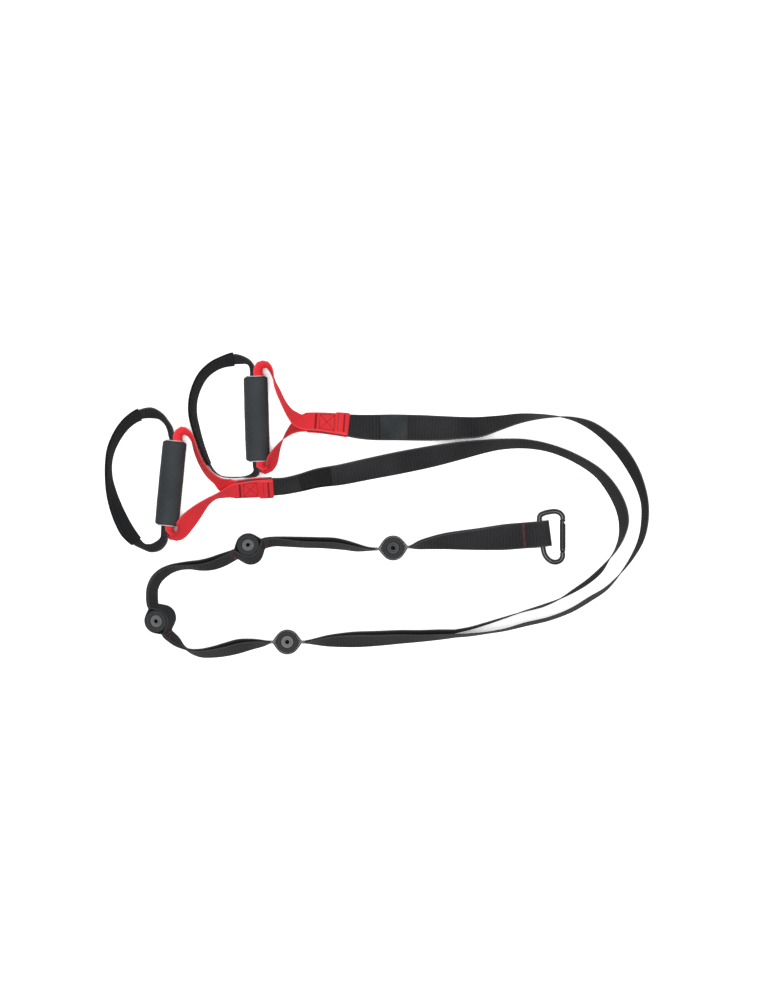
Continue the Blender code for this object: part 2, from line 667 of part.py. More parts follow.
def build_foot_loop(side, handle, route, pad_span, group, tools):
    tuck = (FOOT_STRAP_WIDTH, FOOT_TUCK_RADIUS)
    inside = handle.tube_guides(*tuck, handle.axis)
    guides = inside + handle.guides(route, *tuck, PAD_WIDTH, PAD_THICKNESS)
    steps = span_steps(guides, closed=True)
    flat = (FOOT_STRAP_WIDTH, FOOT_STRAP_THICKNESS)
    rows = smooth_rows(guides, *flat, steps, closed=True)
    strap = ribbon(
        side + "_foot_strap", rows, *flat, BLACK_WEBBING, group, FOOT_STRIPS, closed=True
    )
    first = sum(steps[: len(inside) + pad_span[0]])
    last = sum(steps[: len(inside) + pad_span[1]])
    pad = ribbon(
        side + "_foot_pad", rows[first : last + 1], PAD_WIDTH, PAD_THICKNESS, PAD_FABRIC,
        group, FOOT_STRIPS,
    )
    crown_pad(pad)
    sleeve = rows[first - 1 : last + 2]
    slot = ribbon(
        side + "_pad_slot", sleeve, FOOT_STRAP_WIDTH + 2 * PAD_CLEARANCE,
        FOOT_STRAP_THICKNESS + 2 * PAD_CLEARANCE, PAD_FABRIC, tools, FOOT_STRIPS,
    )
    cut(pad, tool(slot))
    for thing in (strap, pad, slot):
        move_origin(thing, handle.centre)


def crown_pad(pad):
    """Thins a pad toward its two edges, so that it is thickest along its middle."""
    swell = pad.vertex_groups.new(name="swell")
    for vertex in pad.data.vertices:
        place = vertex.index % (FOOT_STRIPS + 1)
        edge = min(place, FOOT_STRIPS - place)
        weight = (0.0, PAD_SHOULDER_SHARE)[edge] if edge < 2 else 1.0
        swell.add([vertex.index], weight, "REPLACE")
    thick = pad.modifiers["thickness"]
    thick.vertex_group = swell.name
    thick.thickness_vertex_group = PAD_EDGE_SHARE


def pocket_rows(centre, axis, travel, side):
    """The middles of one layer round a roller: side is 1 on the left of the travel."""
    radius = POCKET_RADIUS
    reach = PINCH_SHARE * radius
    along = (travel - travel.dot(axis) * axis).normalized()
    out = side * axis.cross(along)
    contact = math.acos(1 / PINCH_SHARE)
    pinch = reach * along
    lead = (reach + PINCH_LEAD) * along
    apart = PINCH_GAP / 2 * out
    arc = []
    for k in range(POCKET_STEPS + 1):
        angle = contact + (math.pi - 2 * contact) * k / POCKET_STEPS
        arc.append(radius * (math.sin(angle) * out - math.cos(angle) * along))
    before = [apart - lead, apart - pinch, (apart - pinch + arc[0]) / 2]
    after = [(apart + pinch + arc[-1]) / 2, apart + pinch, apart + lead]
    return [Guide(centre + place, axis) for place in before + arc + after]


def roller_frame(roller):
    """The middle and the axis of a roller that stands or leans on the floor, or on the edge
    of the webbing round it if that is wider than the roller is long."""
    x, y, travel, roll = roller
    travel = Vector((*travel, 0.0)).normalized()
    axis = across_of(travel, roll)
    lean = math.sqrt(max(0.0, 1 - axis.z * axis.z))
    bare = ROLLER_LENGTH / 2 * axis.z + ROLLER_RADIUS * lean
    wrapped = WEBBING_WIDTH / 2 * axis.z + (POCKET_RADIUS + WEBBING_THICKNESS / 2) * lean
    return spot(x, y) + Vector((0, 0, max(bare, wrapped))), axis, travel


def roller_lift(point):
    """How far the seam is held up here by a leaning roller near it."""
    lift = 0.0
    for roller in ROLLERS:
        centre, axis, travel = roller_frame(roller)
        rest = resting_height(WEBBING_WIDTH, WEBBING_THICKNESS + LAYER_GAP, axis, travel)
        apart = (point.xy - centre.xy).length - PINCH_SHARE * POCKET_RADIUS
        share = max(0.0, min(1.0, 1 - apart / LIFT_REACH))
        lift += (centre.z - rest) * share * share
    return Vector((0.0, 0.0, lift))


def layer_guides(route, side):
    """Guides for one layer of the anchor strap between two rollers."""
    points = [spot(x, y) for x, y, _roll, _gap in route]
    made = []
    for point, travel, (_x, _y, roll, gap) in zip(points, travels(points), route):
        across = across_of(travel, roll)
        apart = max(gap * PIXEL, LAYER_GAP)
        height = resting_height(WEBBING_WIDTH, WEBBING_THICKNESS + apart, across, travel)
        place = point + Vector((0, 0, height)) + side * apart / 2 * across.cross(travel)
        place += roller_lift(point)
        made.append(Guide(place, across))
    return made


def loop_frame():
    """The end of the anchor loop: the bar's middle over the floor, and the way to it."""
    bar = spot(*CARABINER_BAR)
    rod = [Vector((x * MM, y * MM, 0.0)) for x, y in ROD_ROUTE]
    slant = (rod[6] - rod[8]).normalized()
    return bar, right_of(slant), slant


def loop_guides():
    """The fold round the carabiner's bar: out under it, round, and back over it."""
    bar, ahead, across = loop_frame()
    tack = spot(*BAR_TACK)
    floor = WEBBING_THICKNESS / 2
    top = 2 * LOOP_RADIUS + floor
    centre = LOOP_REACH - WEBBING_THICKNESS / 2 - LOOP_RADIUS
    rows = [Guide(tack + Vector((0, 0, floor)), across)]
    for share in LOOP_LEAD_SHARES:
        rows.append(Guide(bar + share * LOOP_REACH * ahead + Vector((0, 0, floor)), across))
    for k in range(LOOP_STEPS + 1):
        angle = math.pi * k / LOOP_STEPS
        place = bar + (centre + LOOP_RADIUS * math.sin(angle)) * ahead
        height = floor + LOOP_RADIUS * (1 - math.cos(angle))
        rows.append(Guide(place + Vector((0, 0, height)), across))
    rows.append(Guide(bar + Vector((0, 0, top)), across))
    for share, height in LOOP_RETURN_SHARES:
        place = bar.lerp(tack, share)
        rise = floor + LAYER_GAP + height * (top - floor - LAYER_GAP)
        rows.append(Guide(place + Vector((0, 0, rise)), across))
    end = tack + END_GAP * ahead
    rows.append(Guide(end + Vector((0, 0, floor + LAYER_GAP)), across))
    return rows


def build_anchor(group):
    """The two layers of the anchor strap. The outer one turns round the carabiner's bar, and
    the inner one ends where that one comes back. Returns the guide at each one's start."""
    layers = {1: [], -1: []}
    for side, guides in layers.items():
        for i, route in enumerate(ANCHOR_ROUTES):
            guides += layer_guides(route, side)
            if i < len(ROLLERS):
                guides += pocket_rows(*roller_frame(ROLLERS[i]), side)
    starts = {side: guides[0] for side, guides in layers.items()}
    outer_steps = span_steps(layers[1])
    inner_steps = span_steps(layers[-1])
    steps = [max(pair) for pair in zip(outer_steps, inner_steps)]
    _bar, _ahead, across = loop_frame()
    above = Vector((0, 0, WEBBING_THICKNESS / 2 + LAYER_GAP))
    layers[-1].append(Guide(spot(*BAR_TACK) + above, across))
    fold = loop_guides()
    fold_steps = span_steps([layers[1][-1], *fold])
    layers[1] += fold
    flat = (WEBBING_WIDTH, WEBBING_THICKNESS)
    outer = smooth_rows(layers[1], *flat, steps + fold_steps)
    inner = smooth_rows(layers[-1], *flat, steps + fold_steps[:1])
    ribbon("anchor_outer_layer", outer, *flat, BLACK_WEBBING, group)
    ribbon("anchor_inner_layer", inner, *flat, BLACK_WEBBING, group)
    return starts


def build_leg_strap(side, joint_route, route, meets, group):
    """A leg strap, from inside the yoke's seam to the layer of the anchor strap it meets."""
    seam = closer_stations(joint_route)[1:]
    guides = floor_guides(seam, WEBBING_WIDTH, SEAM_STACK)
    guides += floor_guides(route, WEBBING_WIDTH, WEBBING_THICKNESS)
    travel = (meets.point - guides[-1].point).normalized()
    guides.append(Guide(meets.point - END_GAP * travel, meets.across))
    rows = smooth_rows(guides, WEBBING_WIDTH, WEBBING_THICKNESS)
    ribbon(
        side + "_leg_strap", rows, WEBBING_WIDTH, WEBBING_THICKNESS, BLACK_WEBBING, group
    )


def build_roller(number, roller, group):
    centre, axis, travel = roller_frame(roller)
    down = Vector((0, 0, -1)) + axis.z * axis
    x_axis = down.normalized() if down.length > MM else travel
    place = matrix_of(x_axis, axis, centre)
    name = "roller_" + str(number)
    sleeve = ring_profile(
        CORE_RADIUS + CLEARANCE, ROLLER_RADIUS, ROLLER_LENGTH, 0.0, ROLLER_EDGE
    )
    turned(name + "_sleeve", sleeve, SLEEVE_SEGMENTS, SLEEVE_RUBBER, group, place, ring=True)
    half = ROLLER_LENGTH / 2 - CORE_RECESS
    step = CORE_COLLAR_RADIUS
    floor = half - CORE_COLLAR_DEPTH
    core = [
        (CORE_BORE_RADIUS, half), (step, half), (step + CORE_COLLAR_DEPTH, floor),
        (CORE_RADIUS, floor), (CORE_RADIUS, -floor), (step + CORE_COLLAR_DEPTH, -floor),
        (step, -half), (CORE_BORE_RADIUS, -half),
    ]
    turned(name + "_core", core, CORE_SEGMENTS, CORE_PLASTIC, group, place, ring=True)


def box(name, low, high, group):
    """A cutter or a block between two corners."""
    mesh = bpy.data.meshes.new(name)
    work = bmesh.new()
    bmesh.ops.create_cube(work, size=1.0)
    sides = [high[i] - low[i] for i in range(3)]
    middle = [(high[i] + low[i]) / 2 for i in range(3)]
    bmesh.ops.scale(work, vec=sides, verts=work.verts)
    bmesh.ops.translate(work, vec=middle, verts=work.verts)
    work.to_mesh(mesh)
    work.free()
    thing = bpy.data.objects.new(name, mesh)
    group.objects.link(thing)
    return thing


def rod_solid(name, points, radius, finish, group, sides=ROD_SIDES):
    """A round rod along points, as a mesh with closed ends."""
    curve = bpy.data.curves.new(name, "CURVE")
    curve.dimensions = "3D"
    curve.bevel_depth = radius
    curve.bevel_resolution = (sides - 4) // 2
    curve.use_fill_caps = True
    spline = curve.splines.new("POLY")
    spline.points.add(len(points) - 1)
    for point, place in zip(spline.points, points):
        point.co = (*place, 1.0)
    holder = bpy.data.objects.new(name + "_route", curve)
    group.objects.link(holder)
    bpy.context.view_layer.update()
    mesh = bpy.data.meshes.new_from_object(holder)
    bpy.data.objects.remove(holder, do_unlink=True)
    work = bmesh.new()
    work.from_mesh(mesh)
    bmesh.ops.remove_doubles(work, verts=work.verts, dist=WELD)
    bmesh.ops.recalc_face_normals(work, faces=work.faces)
    work.to_mesh(mesh)
    work.free()
    return finish_object(name, mesh, finish, group)


def smooth_points(points, step):
    """Points along a smooth curve through these, about this far apart."""
    values = [np.array(point) for point in points]
    values = [2 * values[0] - values[1], *values, 2 * values[-1] - values[-2]]
    places = []
    for i in range(1, len(values) - 2):
        number = max(1, round(np.linalg.norm(values[i + 1] - values[i]) / step))
        for k in range(number):
            places.append(Vector(catmull_rom(*values[i - 1 : i + 3], k / number)))
    places.append(Vector(values[-2]))
    return places


def carabiner_matrix():
    """The carabiner's own frame: its bar in the anchor loop, its gate's side on the floor."""
    bar = spot(*CARABINER_BAR)
    height = WEBBING_THICKNESS / 2 + LOOP_RADIUS
    sink = math.asin((height - GATE_RADIUS) / GATE_X)
    tilt = Matrix.Rotation(sink, 4, "Y")
    return Matrix.Translation(bar + Vector((0, 0, height))) @ tilt


def build_carabiner(group, tools):
    frame = carabiner_matrix()
    heel = Vector((GATE_X, HEEL_END, 0.0))
    nose = Vector((GATE_X, NOSE_END, 0.0))
    route = [Vector((x * MM, y * MM, 0.0)) for x, y in ROD_ROUTE]
    line = smooth_points([nose, *route, heel], ROD_STEP)
    body = rod_solid("carabiner_body", line, ROD_RADIUS, BLACK_METAL, group)
    pivot = Vector((GATE_X, GATE_PIVOT_Y, 0.0))
    half = TANG_THICKNESS / 2
    neck = tool(box(
        "heel_neck", (GATE_X - TANG_RADIUS, HEEL_END - ROD_RADIUS / 2, -half),
        (GATE_X + TANG_RADIUS, GATE_PIVOT_Y, half), tools,
    ))
    disc = turned(
        "heel_disc", [(0.0, half), (TANG_RADIUS, half), (TANG_RADIUS, -half), (0.0, -half)],
        GATE_SEGMENTS, BLACK_METAL, tools, Matrix.Translation(pivot),
    )
    tang_half = NOSE_TANG_WIDTH / 2
    nose_tang = tool(box(
        "nose_tang", (GATE_X - tang_half, NOSE_END - NOSE_TANG_LENGTH, -half),
        (GATE_X + tang_half, NOSE_END + ROD_RADIUS / 2, half), tools,
    ))
    pin_spot = Vector((GATE_X, NOSE_END - NOSE_TANG_LENGTH + tang_half, 0.0))
    rivet_hole = drill("rivet_hole", pivot, RIVET_RADIUS + CLEARANCE, tools)
    pin_hole = drill("pin_hole", pin_spot, LATCH_PIN_RADIUS + CLEARANCE, tools)
    for piece in (neck, tool(disc), nose_tang):
        join(body, piece)
    for piece in (rivet_hole, pin_hole):
        cut(body, piece)

    gate = build_gate(pivot, pin_spot, rivet_hole, group, tools)
    rivet_half = math.sqrt(GATE_RADIUS**2 - RIVET_RADIUS**2)
    rivet = plain_pin("gate_rivet", pivot, RIVET_RADIUS, rivet_half, group)
    pin = plain_pin("latch_pin", pin_spot, LATCH_PIN_RADIUS, LATCH_PIN_LENGTH / 2, group)
    spring, plunger = build_gate_spring(pivot, group)
    for thing in (body, gate, rivet, pin, spring, plunger, *tools.objects):
        if thing.name.endswith("_pad_slot"):
            continue
        thing.matrix_world = frame @ thing.matrix_world


def drill(name, place, radius, tools):
    """A round cutter along the carabiner's thickness."""
    reach = GATE_RADIUS + OVERRUN
    profile = [(0.0, reach), (radius, reach), (radius, -reach), (0.0, -reach)]
    return tool(turned(
        name, profile, PIN_SEGMENTS, BLACK_METAL, tools, Matrix.Translation(place)
    ))


def plain_pin(name, place, radius, half, group):
    edge = radius / 4
    profile = [(0.0, half), *rounded_corner(radius, half, edge, 1, 1)]
    profile += rounded_corner(radius, -half, edge, 1, -1)[::-1] + [(0.0, -half)]
    return turned(
        name, profile, PIN_SEGMENTS, BLACK_METAL, group, Matrix.Translation(place)
    )


def build_gate(pivot, pin_spot, rivet_hole, group, tools):
    """The gate: a ball end round the rivet, a clevis slot over each tang, a notch that lets
    the latch pin in from outside, and a bore for the spring."""
    top = NOSE_END - GATE_GAP - GATE_PIVOT_Y
    profile = [(0.0, top), *rounded_corner(GATE_RADIUS, top, CLEARANCE, 1, 1)]
    for k in range(BALL_STEPS + 1):
        angle = math.pi / 2 * k / BALL_STEPS
        profile.append((GATE_RADIUS * math.cos(angle), -GATE_RADIUS * math.sin(angle)))
    profile[-1] = (0.0, -GATE_RADIUS)
    upright = matrix_of(Vector((1, 0, 0)), Vector((0, 1, 0)), pivot)
    gate = turned("carabiner_gate", profile, GATE_SEGMENTS, BLACK_METAL, group, upright)
    slot = TANG_THICKNESS / 2 + CLEARANCE
    wide = GATE_RADIUS + OVERRUN
    cut(gate, tool(box(
        "heel_slot", (GATE_X - wide, GATE_PIVOT_Y - wide, -slot),
        (GATE_X + wide, GATE_PIVOT_Y + SLOT_ROOT, slot), tools,
    )))
    low = NOSE_END - NOSE_TANG_LENGTH - 2 * CLEARANCE
    cut(gate, tool(box(
        "nose_slot", (GATE_X - wide, low, -slot), (GATE_X + wide, NOSE_END, slot), tools,
    )))
    notch = LATCH_PIN_RADIUS + CLEARANCE
    cut(gate, tool(box(
        "pin_notch", (GATE_X - notch, pin_spot.y - notch, -wide),
        (GATE_X + wide, pin_spot.y + notch, wide), tools,
    )))
    cut(gate, rivet_hole)
    bore_low = SLOT_ROOT - OVERRUN
    bore_high = SLOT_ROOT + PLUNGER_LENGTH + SPRING_LENGTH + 3 * CLEARANCE
    radius = PLUNGER_RADIUS + CLEARANCE
    profile = [(0.0, bore_high), (radius, bore_high), (radius, bore_low), (0.0, bore_low)]
    cut(gate, tool(turned(
        "spring_bore", profile, PLUNGER_SEGMENTS, BLACK_METAL, tools, upright
    )))
    return gate


def build_gate_spring(pivot, group):
    low = SLOT_ROOT + CLEARANCE
    upright = matrix_of(Vector((1, 0, 0)), Vector((0, 1, 0)), pivot)
    high = low + PLUNGER_LENGTH
    profile = [(0.0, high), *rounded_corner(PLUNGER_RADIUS, high, CLEARANCE, 1, 1, 1)]
    tip = PLUNGER_RADIUS / 2
    profile += [(PLUNGER_RADIUS, low + tip), (tip, low), (0.0, low)]
    plunger = turned(
        "spring_plunger", profile, PLUNGER_SEGMENTS, BLACK_METAL, group, upright
    )
    start = high + CLEARANCE + SPRING_WIRE_RADIUS
    rise = SPRING_LENGTH - 2 * SPRING_WIRE_RADIUS
    radius = PLUNGER_RADIUS - SPRING_WIRE_RADIUS
    points = []
    for k in range(SPRING_TURNS * SPRING_STEPS + 1):
        angle = 2 * math.pi * k / SPRING_STEPS
        height = start + rise * k / (SPRING_TURNS * SPRING_STEPS)
        points.append((radius * math.cos(angle), radius * math.sin(angle), height))
    spring = rod_solid(
        "gate_spring", points, SPRING_WIRE_RADIUS, SPRING_STEEL, group, SPRING_SIDES
    )
    spring.matrix_world = upright
    return spring, plunger


def main():
    clear_scene()
    group = new_collection(COLLECTION_NAME)
    tools = new_collection("cutters")
    tools.hide_render = True
    starts = build_anchor(group)
    for side, ends, joint, top, bottom, fold, foot, span, leg, layer in (
        ("left", LEFT_GRIP_ENDS, LEFT_JOINT_ROUTE, LEFT_YOKE_TOP_ROUTE,
         LEFT_YOKE_BOTTOM_ROUTE, -1, LEFT_FOOT_ROUTE, LEFT_PAD_SPAN, LEFT_LEG_ROUTE,
         -1),
        ("right", RIGHT_GRIP_ENDS, RIGHT_JOINT_ROUTE, RIGHT_YOKE_TOP_ROUTE,
         RIGHT_YOKE_BOTTOM_ROUTE, 1, RIGHT_FOOT_ROUTE, RIGHT_PAD_SPAN, RIGHT_LEG_ROUTE,
         1),
    ):
        handle = Handle(ends)
        build_grip(side, handle, group)
        build_yoke(side, handle, joint, top, bottom, fold, group)
        build_foot_loop(side, handle, foot, span, group, tools)
        build_leg_strap(side, joint, leg, starts[layer], group)
    for number, roller in enumerate(ROLLERS, start=1):
        build_roller(number, roller, group)
    build_carabiner(group, tools)


main()
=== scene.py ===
"""The visual model of a suspension trainer that lies on a pale floor: webbing with its weave
and stitching, padded foot loops, foam grips, door rollers and a snap carabiner."""

import math
from collections import namedtuple

import bmesh
import bpy
import numpy as np
from mathutils import Matrix, Vector


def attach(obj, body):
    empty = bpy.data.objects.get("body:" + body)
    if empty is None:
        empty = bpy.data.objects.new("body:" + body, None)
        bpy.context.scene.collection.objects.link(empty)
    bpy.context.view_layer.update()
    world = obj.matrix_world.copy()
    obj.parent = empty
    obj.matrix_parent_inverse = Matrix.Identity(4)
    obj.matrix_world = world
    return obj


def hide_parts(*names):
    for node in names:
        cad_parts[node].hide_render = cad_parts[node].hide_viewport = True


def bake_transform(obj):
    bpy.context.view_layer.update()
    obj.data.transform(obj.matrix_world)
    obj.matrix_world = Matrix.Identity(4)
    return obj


bl_info = {
    "name": "Suspension trainer",
    "version": (1, 0, 0),
    "blender": (4, 5, 0),
    "location": "View3D > Sidebar > Trainer",
    "description": "Dresses a packed suspension trainer with webbing, stitching and fittings",
    "category": "Object",
}

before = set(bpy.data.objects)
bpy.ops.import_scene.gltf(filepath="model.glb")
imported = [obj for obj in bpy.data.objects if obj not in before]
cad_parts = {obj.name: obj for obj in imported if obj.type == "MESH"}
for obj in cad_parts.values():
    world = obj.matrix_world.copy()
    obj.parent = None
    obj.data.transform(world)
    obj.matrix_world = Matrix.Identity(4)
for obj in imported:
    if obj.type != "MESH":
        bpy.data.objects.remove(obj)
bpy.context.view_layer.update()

MM = 0.001
PIXEL = 1.45 * MM  # one pixel of a route, on the floor
CENTRE_X = 335.05  # the pixel that stands at the origin
CENTRE_Y = 505.03
PHOTO_SIZE = (771, 1000)

# Sizes that the solids have too
WEBBING_WIDTH = 38 * MM
WEBBING_THICKNESS = 1.6 * MM
FOOT_STRAP_WIDTH = 25 * MM
FOOT_STRAP_THICKNESS = 1.5 * MM
PAD_WIDTH = 32 * MM
PAD_THICKNESS = 5 * MM
SEAM_LAYER_GAP = WEBBING_THICKNESS + 0.75 * MM
SEAM_STACK = WEBBING_THICKNESS + 2 * SEAM_LAYER_GAP
SEAM_STEP = 3  # pixels between two cross-sections of a seam
LAYER_GAP = WEBBING_THICKNESS + 0.3 * MM
PINCH_GAP = WEBBING_THICKNESS + 0.7 * MM
LAP = 0.4 * MM  # of one sewn end over the next
END_FOLD_LENGTH = 17 * MM
TUBE_LENGTH = 125 * MM
FOAM_LENGTH = 122 * MM
FOAM_RADIUS = 17.3 * MM
FOAM_CROWN = 0.4 * MM
TUBE_OUTER_RADIUS = 13.2 * MM
YOKE_TUCK_RADIUS = 10.6 * MM
FOOT_TUCK_RADIUS = 7.2 * MM
ROLLER_LENGTH = 40 * MM
ROLLER_RADIUS = 16 * MM
CORE_RADIUS = 9 * MM
POCKET_RADIUS = ROLLER_RADIUS + 0.5 * MM + WEBBING_THICKNESS / 2
PINCH_SHARE = 1.2  # of the pocket's radius, from a roller's middle to where the layers meet
PINCH_LEAD = 3 * MM  # from there to where they run side by side
LIFT_REACH = 50 * MM  # from a leaning roller to where the seam lies on the floor again
POCKET_STEPS = 6  # from one end of a pocket's arc to the other
ROD_RADIUS = 3.8 * MM
GATE_RADIUS = 4.2 * MM
GATE_X = 30.7 * MM
GATE_PIVOT_Y = -22.6 * MM
TANG_THICKNESS = 2.3 * MM
TANG_RADIUS = 3.1 * MM
NOSE_TANG_WIDTH = 4.6 * MM
NOSE_TANG_LENGTH = 7.4 * MM
NOSE_END = 21.9 * MM
HEEL_END = -27.3 * MM
LOOP_RADIUS = ROD_RADIUS + WEBBING_THICKNESS / 2 + 0.9 * MM
LOOP_REACH = 13 * MM
LOOP_STEPS = 8  # round the fold of the anchor loop
LOOP_START_SHARES = (-0.45, 0.0)  # of the reach, for the places under the bar
LOOP_RISES = ((0.3, 0.93), (0.55, 0.62), (0.78, 0.24))  # shares of the way back and the height
ROW_STEP = 3 * MM  # between two cross-sections of a strap
TURN_STEP = 0.12  # radians of twist between two cross-sections
STRAIGHT = 0.01  # a smaller curl, in radians, is none
NO_LENGTH = 1e-9
WIDTH_SHARES = (-0.5, -0.25, 0.0, 0.25, 0.5)
TUBE_SHARES = (-1.0, -0.5, 0.0, 0.5, 1.0)  # of half the tube's length
MAIN_STRAP = (WEBBING_WIDTH, WEBBING_THICKNESS)
FOOT_STRAP = (FOOT_STRAP_WIDTH, FOOT_STRAP_THICKNESS)
PAD = (PAD_WIDTH, PAD_THICKNESS)

# Sections, sewing and turned edges
SELVEDGE_ANGLES = (0.6, 1.2, 1.94, 2.54)  # radians from the strap's normal
STRAP_STRIPS = 12  # across a strap's face
YOKE_STRIPS = 16
PAD_STRIPS = 20
PAD_RIM = 0.2  # height of a pad's edge, as a share of its thickness
PAD_RIM_BULGE = 0.4  # how far it stands out, as a share of half that height
PAD_EDGE = 0.42  # the pad's height beside its edge, as a share of the middle's
PAD_ROUNDNESS = 3.2
CHANNEL_PLACE = 0.84  # a pad's sewn channel, as shares of half its width and thickness
CHANNEL_WIDTH = 0.045
CHANNEL_DEPTH = 0.16
CHANNEL_FLOOR = 0.62  # where its stitches lie
CHANNEL_SECTION = 40 * MM  # about the length of a run of stitches in it
CHANNEL_BREAK = (2 * MM, 1 * MM)  # left free at a run's start and end
CHANNEL_PITCH = 3.6 * MM
THREAD_SIDES = 6
STITCH_PITCH = 3.2 * MM
STITCH_SHARE = 0.78  # of the pitch that the thread lies on the face
STITCH_PATH = (  # shares of the pitch, and lifts in radii of the thread
    (0.0, -0.6), (0.1, 0.15), (STITCH_SHARE / 2, 0.45), (STITCH_SHARE - 0.1, 0.15),
    (STITCH_SHARE, -0.6),
)
TACK_LIFT = 0.35  # of the thread's radius
TACK_THREAD = 1.15  # its radius, as a share of the other stitches'
TACK_HALF = 1.3 * MM
TACK_PITCH = 0.85 * MM
SEAM_REACH = 16 * MM  # from the strap's middle to the end of a row
SEAM_BOX_REACH = 14.5 * MM
LAP_REACH = 16.5 * MM
LAP_SHIFT = 2.2 * MM  # of its two rows from its middle
PINCH_PITCH = 2.4 * MM
PINCH_SHIFTS = (0.0, 3.0 * MM)  # of the rows beside a roller
LOOP_TACK = {"half": 1.5 * MM, "pitch": 0.62 * MM}
LOOP_TACK_REACH = 15.5 * MM
LOOP_TACK_INSET = 1.9 * MM  # from the strap's end
PATCH_STRIPS = 12
PATCH_MARGIN = 3 * MM  # narrower than the webbing
PATCH_LIFT = 0.25 * MM
PATCH_THICKNESS = 0.2 * MM
TURNED_SEGMENTS = 72
FOAM_SEGMENTS = 96
FOAM_RINGS = 28  # along the grip
FOAM_EDGE = 3 * MM
FOAM_SHOULDER = ((0.9, 2.6), (1.9, 1.9), (2.6, 0.9))  # mm outwards and up, round that edge
FOAM_CHAMFER = 0.6 * MM
FOAM_WAVES = ((0.08 * MM, 9), (0.05 * MM, 23))  # height, and radians over half the grip
BORE_GAP = 0.3 * MM  # between a turned piece's bore and what is in it
ROLLER_EDGE = 1.5 * MM
ROLLER_EDGE_ANGLES = (1.57, 1.1, 0.6, 0.2, 0.0)
ROLLER_CHAMFER = 0.5 * MM
GROOVE_HEIGHTS = (12.0, 6.0, 0.0, -6.0, -12.0)  # mm from the roller's middle
GROOVE = ((0.9, 0.0), (0.45, 0.35), (-0.45, 0.35), (-0.9, 0.0))  # height and depth, mm
COLLAR = (  # a core's end: radius and height, mm
    (3.0, 0.4), (3.4, 0.0), (4.9, 0.0), (5.4, -0.5), (5.6, -0.8), (8.4, -0.8), (8.7, -0.4),
    (9.0, -0.5),
)
COLLAR_DROP = 0.4 * MM
CORE_INSET = 1.2 * MM  # of a core's end from its sleeve's
ROD_STEP = 1.2 * MM
ROD_SIDES = 28
TANG_STEPS = 12

# Surfaces
CHEVRON_WIDTH = 2.1 * MM
CHEVRON_LEAN = 0.4  # ribs
YARN_PITCH = 1.05 * MM
SELVEDGE_WIDTH = 2.2 * MM
SELVEDGE_FADE = 0.9 * MM
SELVEDGE_EDGE = 0.2 * MM
COURSE_PITCH = 1.5 * MM  # of the pads' knitted cloth, along it and across it
WALE_PITCH = 1.3 * MM
PAD_BORDER = 2.4 * MM
PAD_BORDER_FADE = 0.8 * MM
# Reach of the painted shade that darkens the inside of the cores' bores
BORE_SHADE_REACH = 9 * MM
SKY_REACH = 40 * MM  # over which shapes near the floor take its open sky
OPENING_SAMPLES = 12
SMOOTH_ANGLE = 50  # degrees between two faces that are still shaded as one
TURNED_SMOOTH_ANGLE = 40

# The stage
CAMERA_HEIGHT = 3.0
CAMERA_SIGHT = 20.0  # how far it sees
FLOOR_REACH = 6.0  # from the middle to each edge
FLOOR_DROP = 0.2 * MM  # under the lowest faces, so that none lies in the floor's plane
LAMP_SPREAD = 26  # degrees
LAMP_TURNS = (3, -4)  # degrees about X and Y

# The handles' ends, as pixels
LEFT_GRIP_ENDS = ((175.0, 440.0), (166.6, 526.4))
RIGHT_GRIP_ENDS = ((255.5, 376.2), (258.0, 461.2))

# Routes of the webbing: x and y as pixels, and the roll in degrees. At 0 the strap lies flat
# with its top edge to the right of its travel, at 90 it stands on edge, and at 180 it lies
# flat with its top edge to the left.
LEFT_JOINT_ROUTE = (
    (235.0, 489.6, 125), (241.0, 489.0, 126), (249.0, 488.2, 129), (260.0, 487.5, 131),
    (272.0, 486.9, 132),
)
RIGHT_JOINT_ROUTE = (
    (305.5, 422.6, 49), (313.0, 422.6, 47), (323.0, 423.1, 44), (336.0, 424.3, 39),
    (347.4, 425.6, 34),
)
LEFT_LEG_ROUTE = (
    (284.0, 486.1, 130), (300.0, 482.8, 132), (318.0, 478.0, 137),
    (340.0, 474.8, 142), (370.0, 468.6, 146), (400.0, 462.6, 149), (430.0, 456.7, 145),
    (460.0, 450.6, 133), (480.0, 447.0, 122), (500.0, 444.3, 114), (525.0, 443.8, 110),
    (550.0, 448.2, 107), (575.0, 458.1, 108), (598.0, 472.8, 111), (612.0, 489.5, 115),
    (621.0, 507.5, 115), (623.8, 522.0, 112), (621.5, 537.0, 102), (615.7, 550.0, 94),
    (609.0, 559.5, 89), (600.0, 571.0, 81), (588.0, 581.5, 81), (574.0, 590.7, 84),
    (560.0, 598.7, 90), (543.0, 605.7, 94), (524.0, 611.3, 91), (505.0, 617.5, 88),
    (487.0, 623.3, 86), (470.0, 628.3, 85),
)
RIGHT_LEG_ROUTE = (
    (357.0, 426.6, 25), (372.0, 427.4, 14), (395.0, 427.4, 3), (418.0, 427.8, 8),
    (440.0, 428.2, 20), (460.0, 427.9, 32), (480.0, 427.0, 40), (500.0, 422.8, 57),
    (520.0, 418.4, 69), (540.0, 416.5, 80), (560.0, 416.8, 90), (575.0, 419.3, 98),
    (590.0, 425.0, 107), (605.0, 435.3, 112), (620.0, 450.0, 116), (632.0, 467.5, 115),
    (640.0, 485.0, 110), (644.7, 503.0, 106), (644.7, 522.0, 105), (641.2, 539.0, 102),
    (633.5, 555.0, 97), (620.0, 574.0, 90), (606.0, 588.7, 84), (590.0, 599.0, 81),
    (572.0, 609.8, 82), (550.0, 618.5, 83), (525.0, 624.5, 83), (505.0, 629.8, 86),
    (487.0, 632.8, 87), (470.0, 634.9, 85),
)

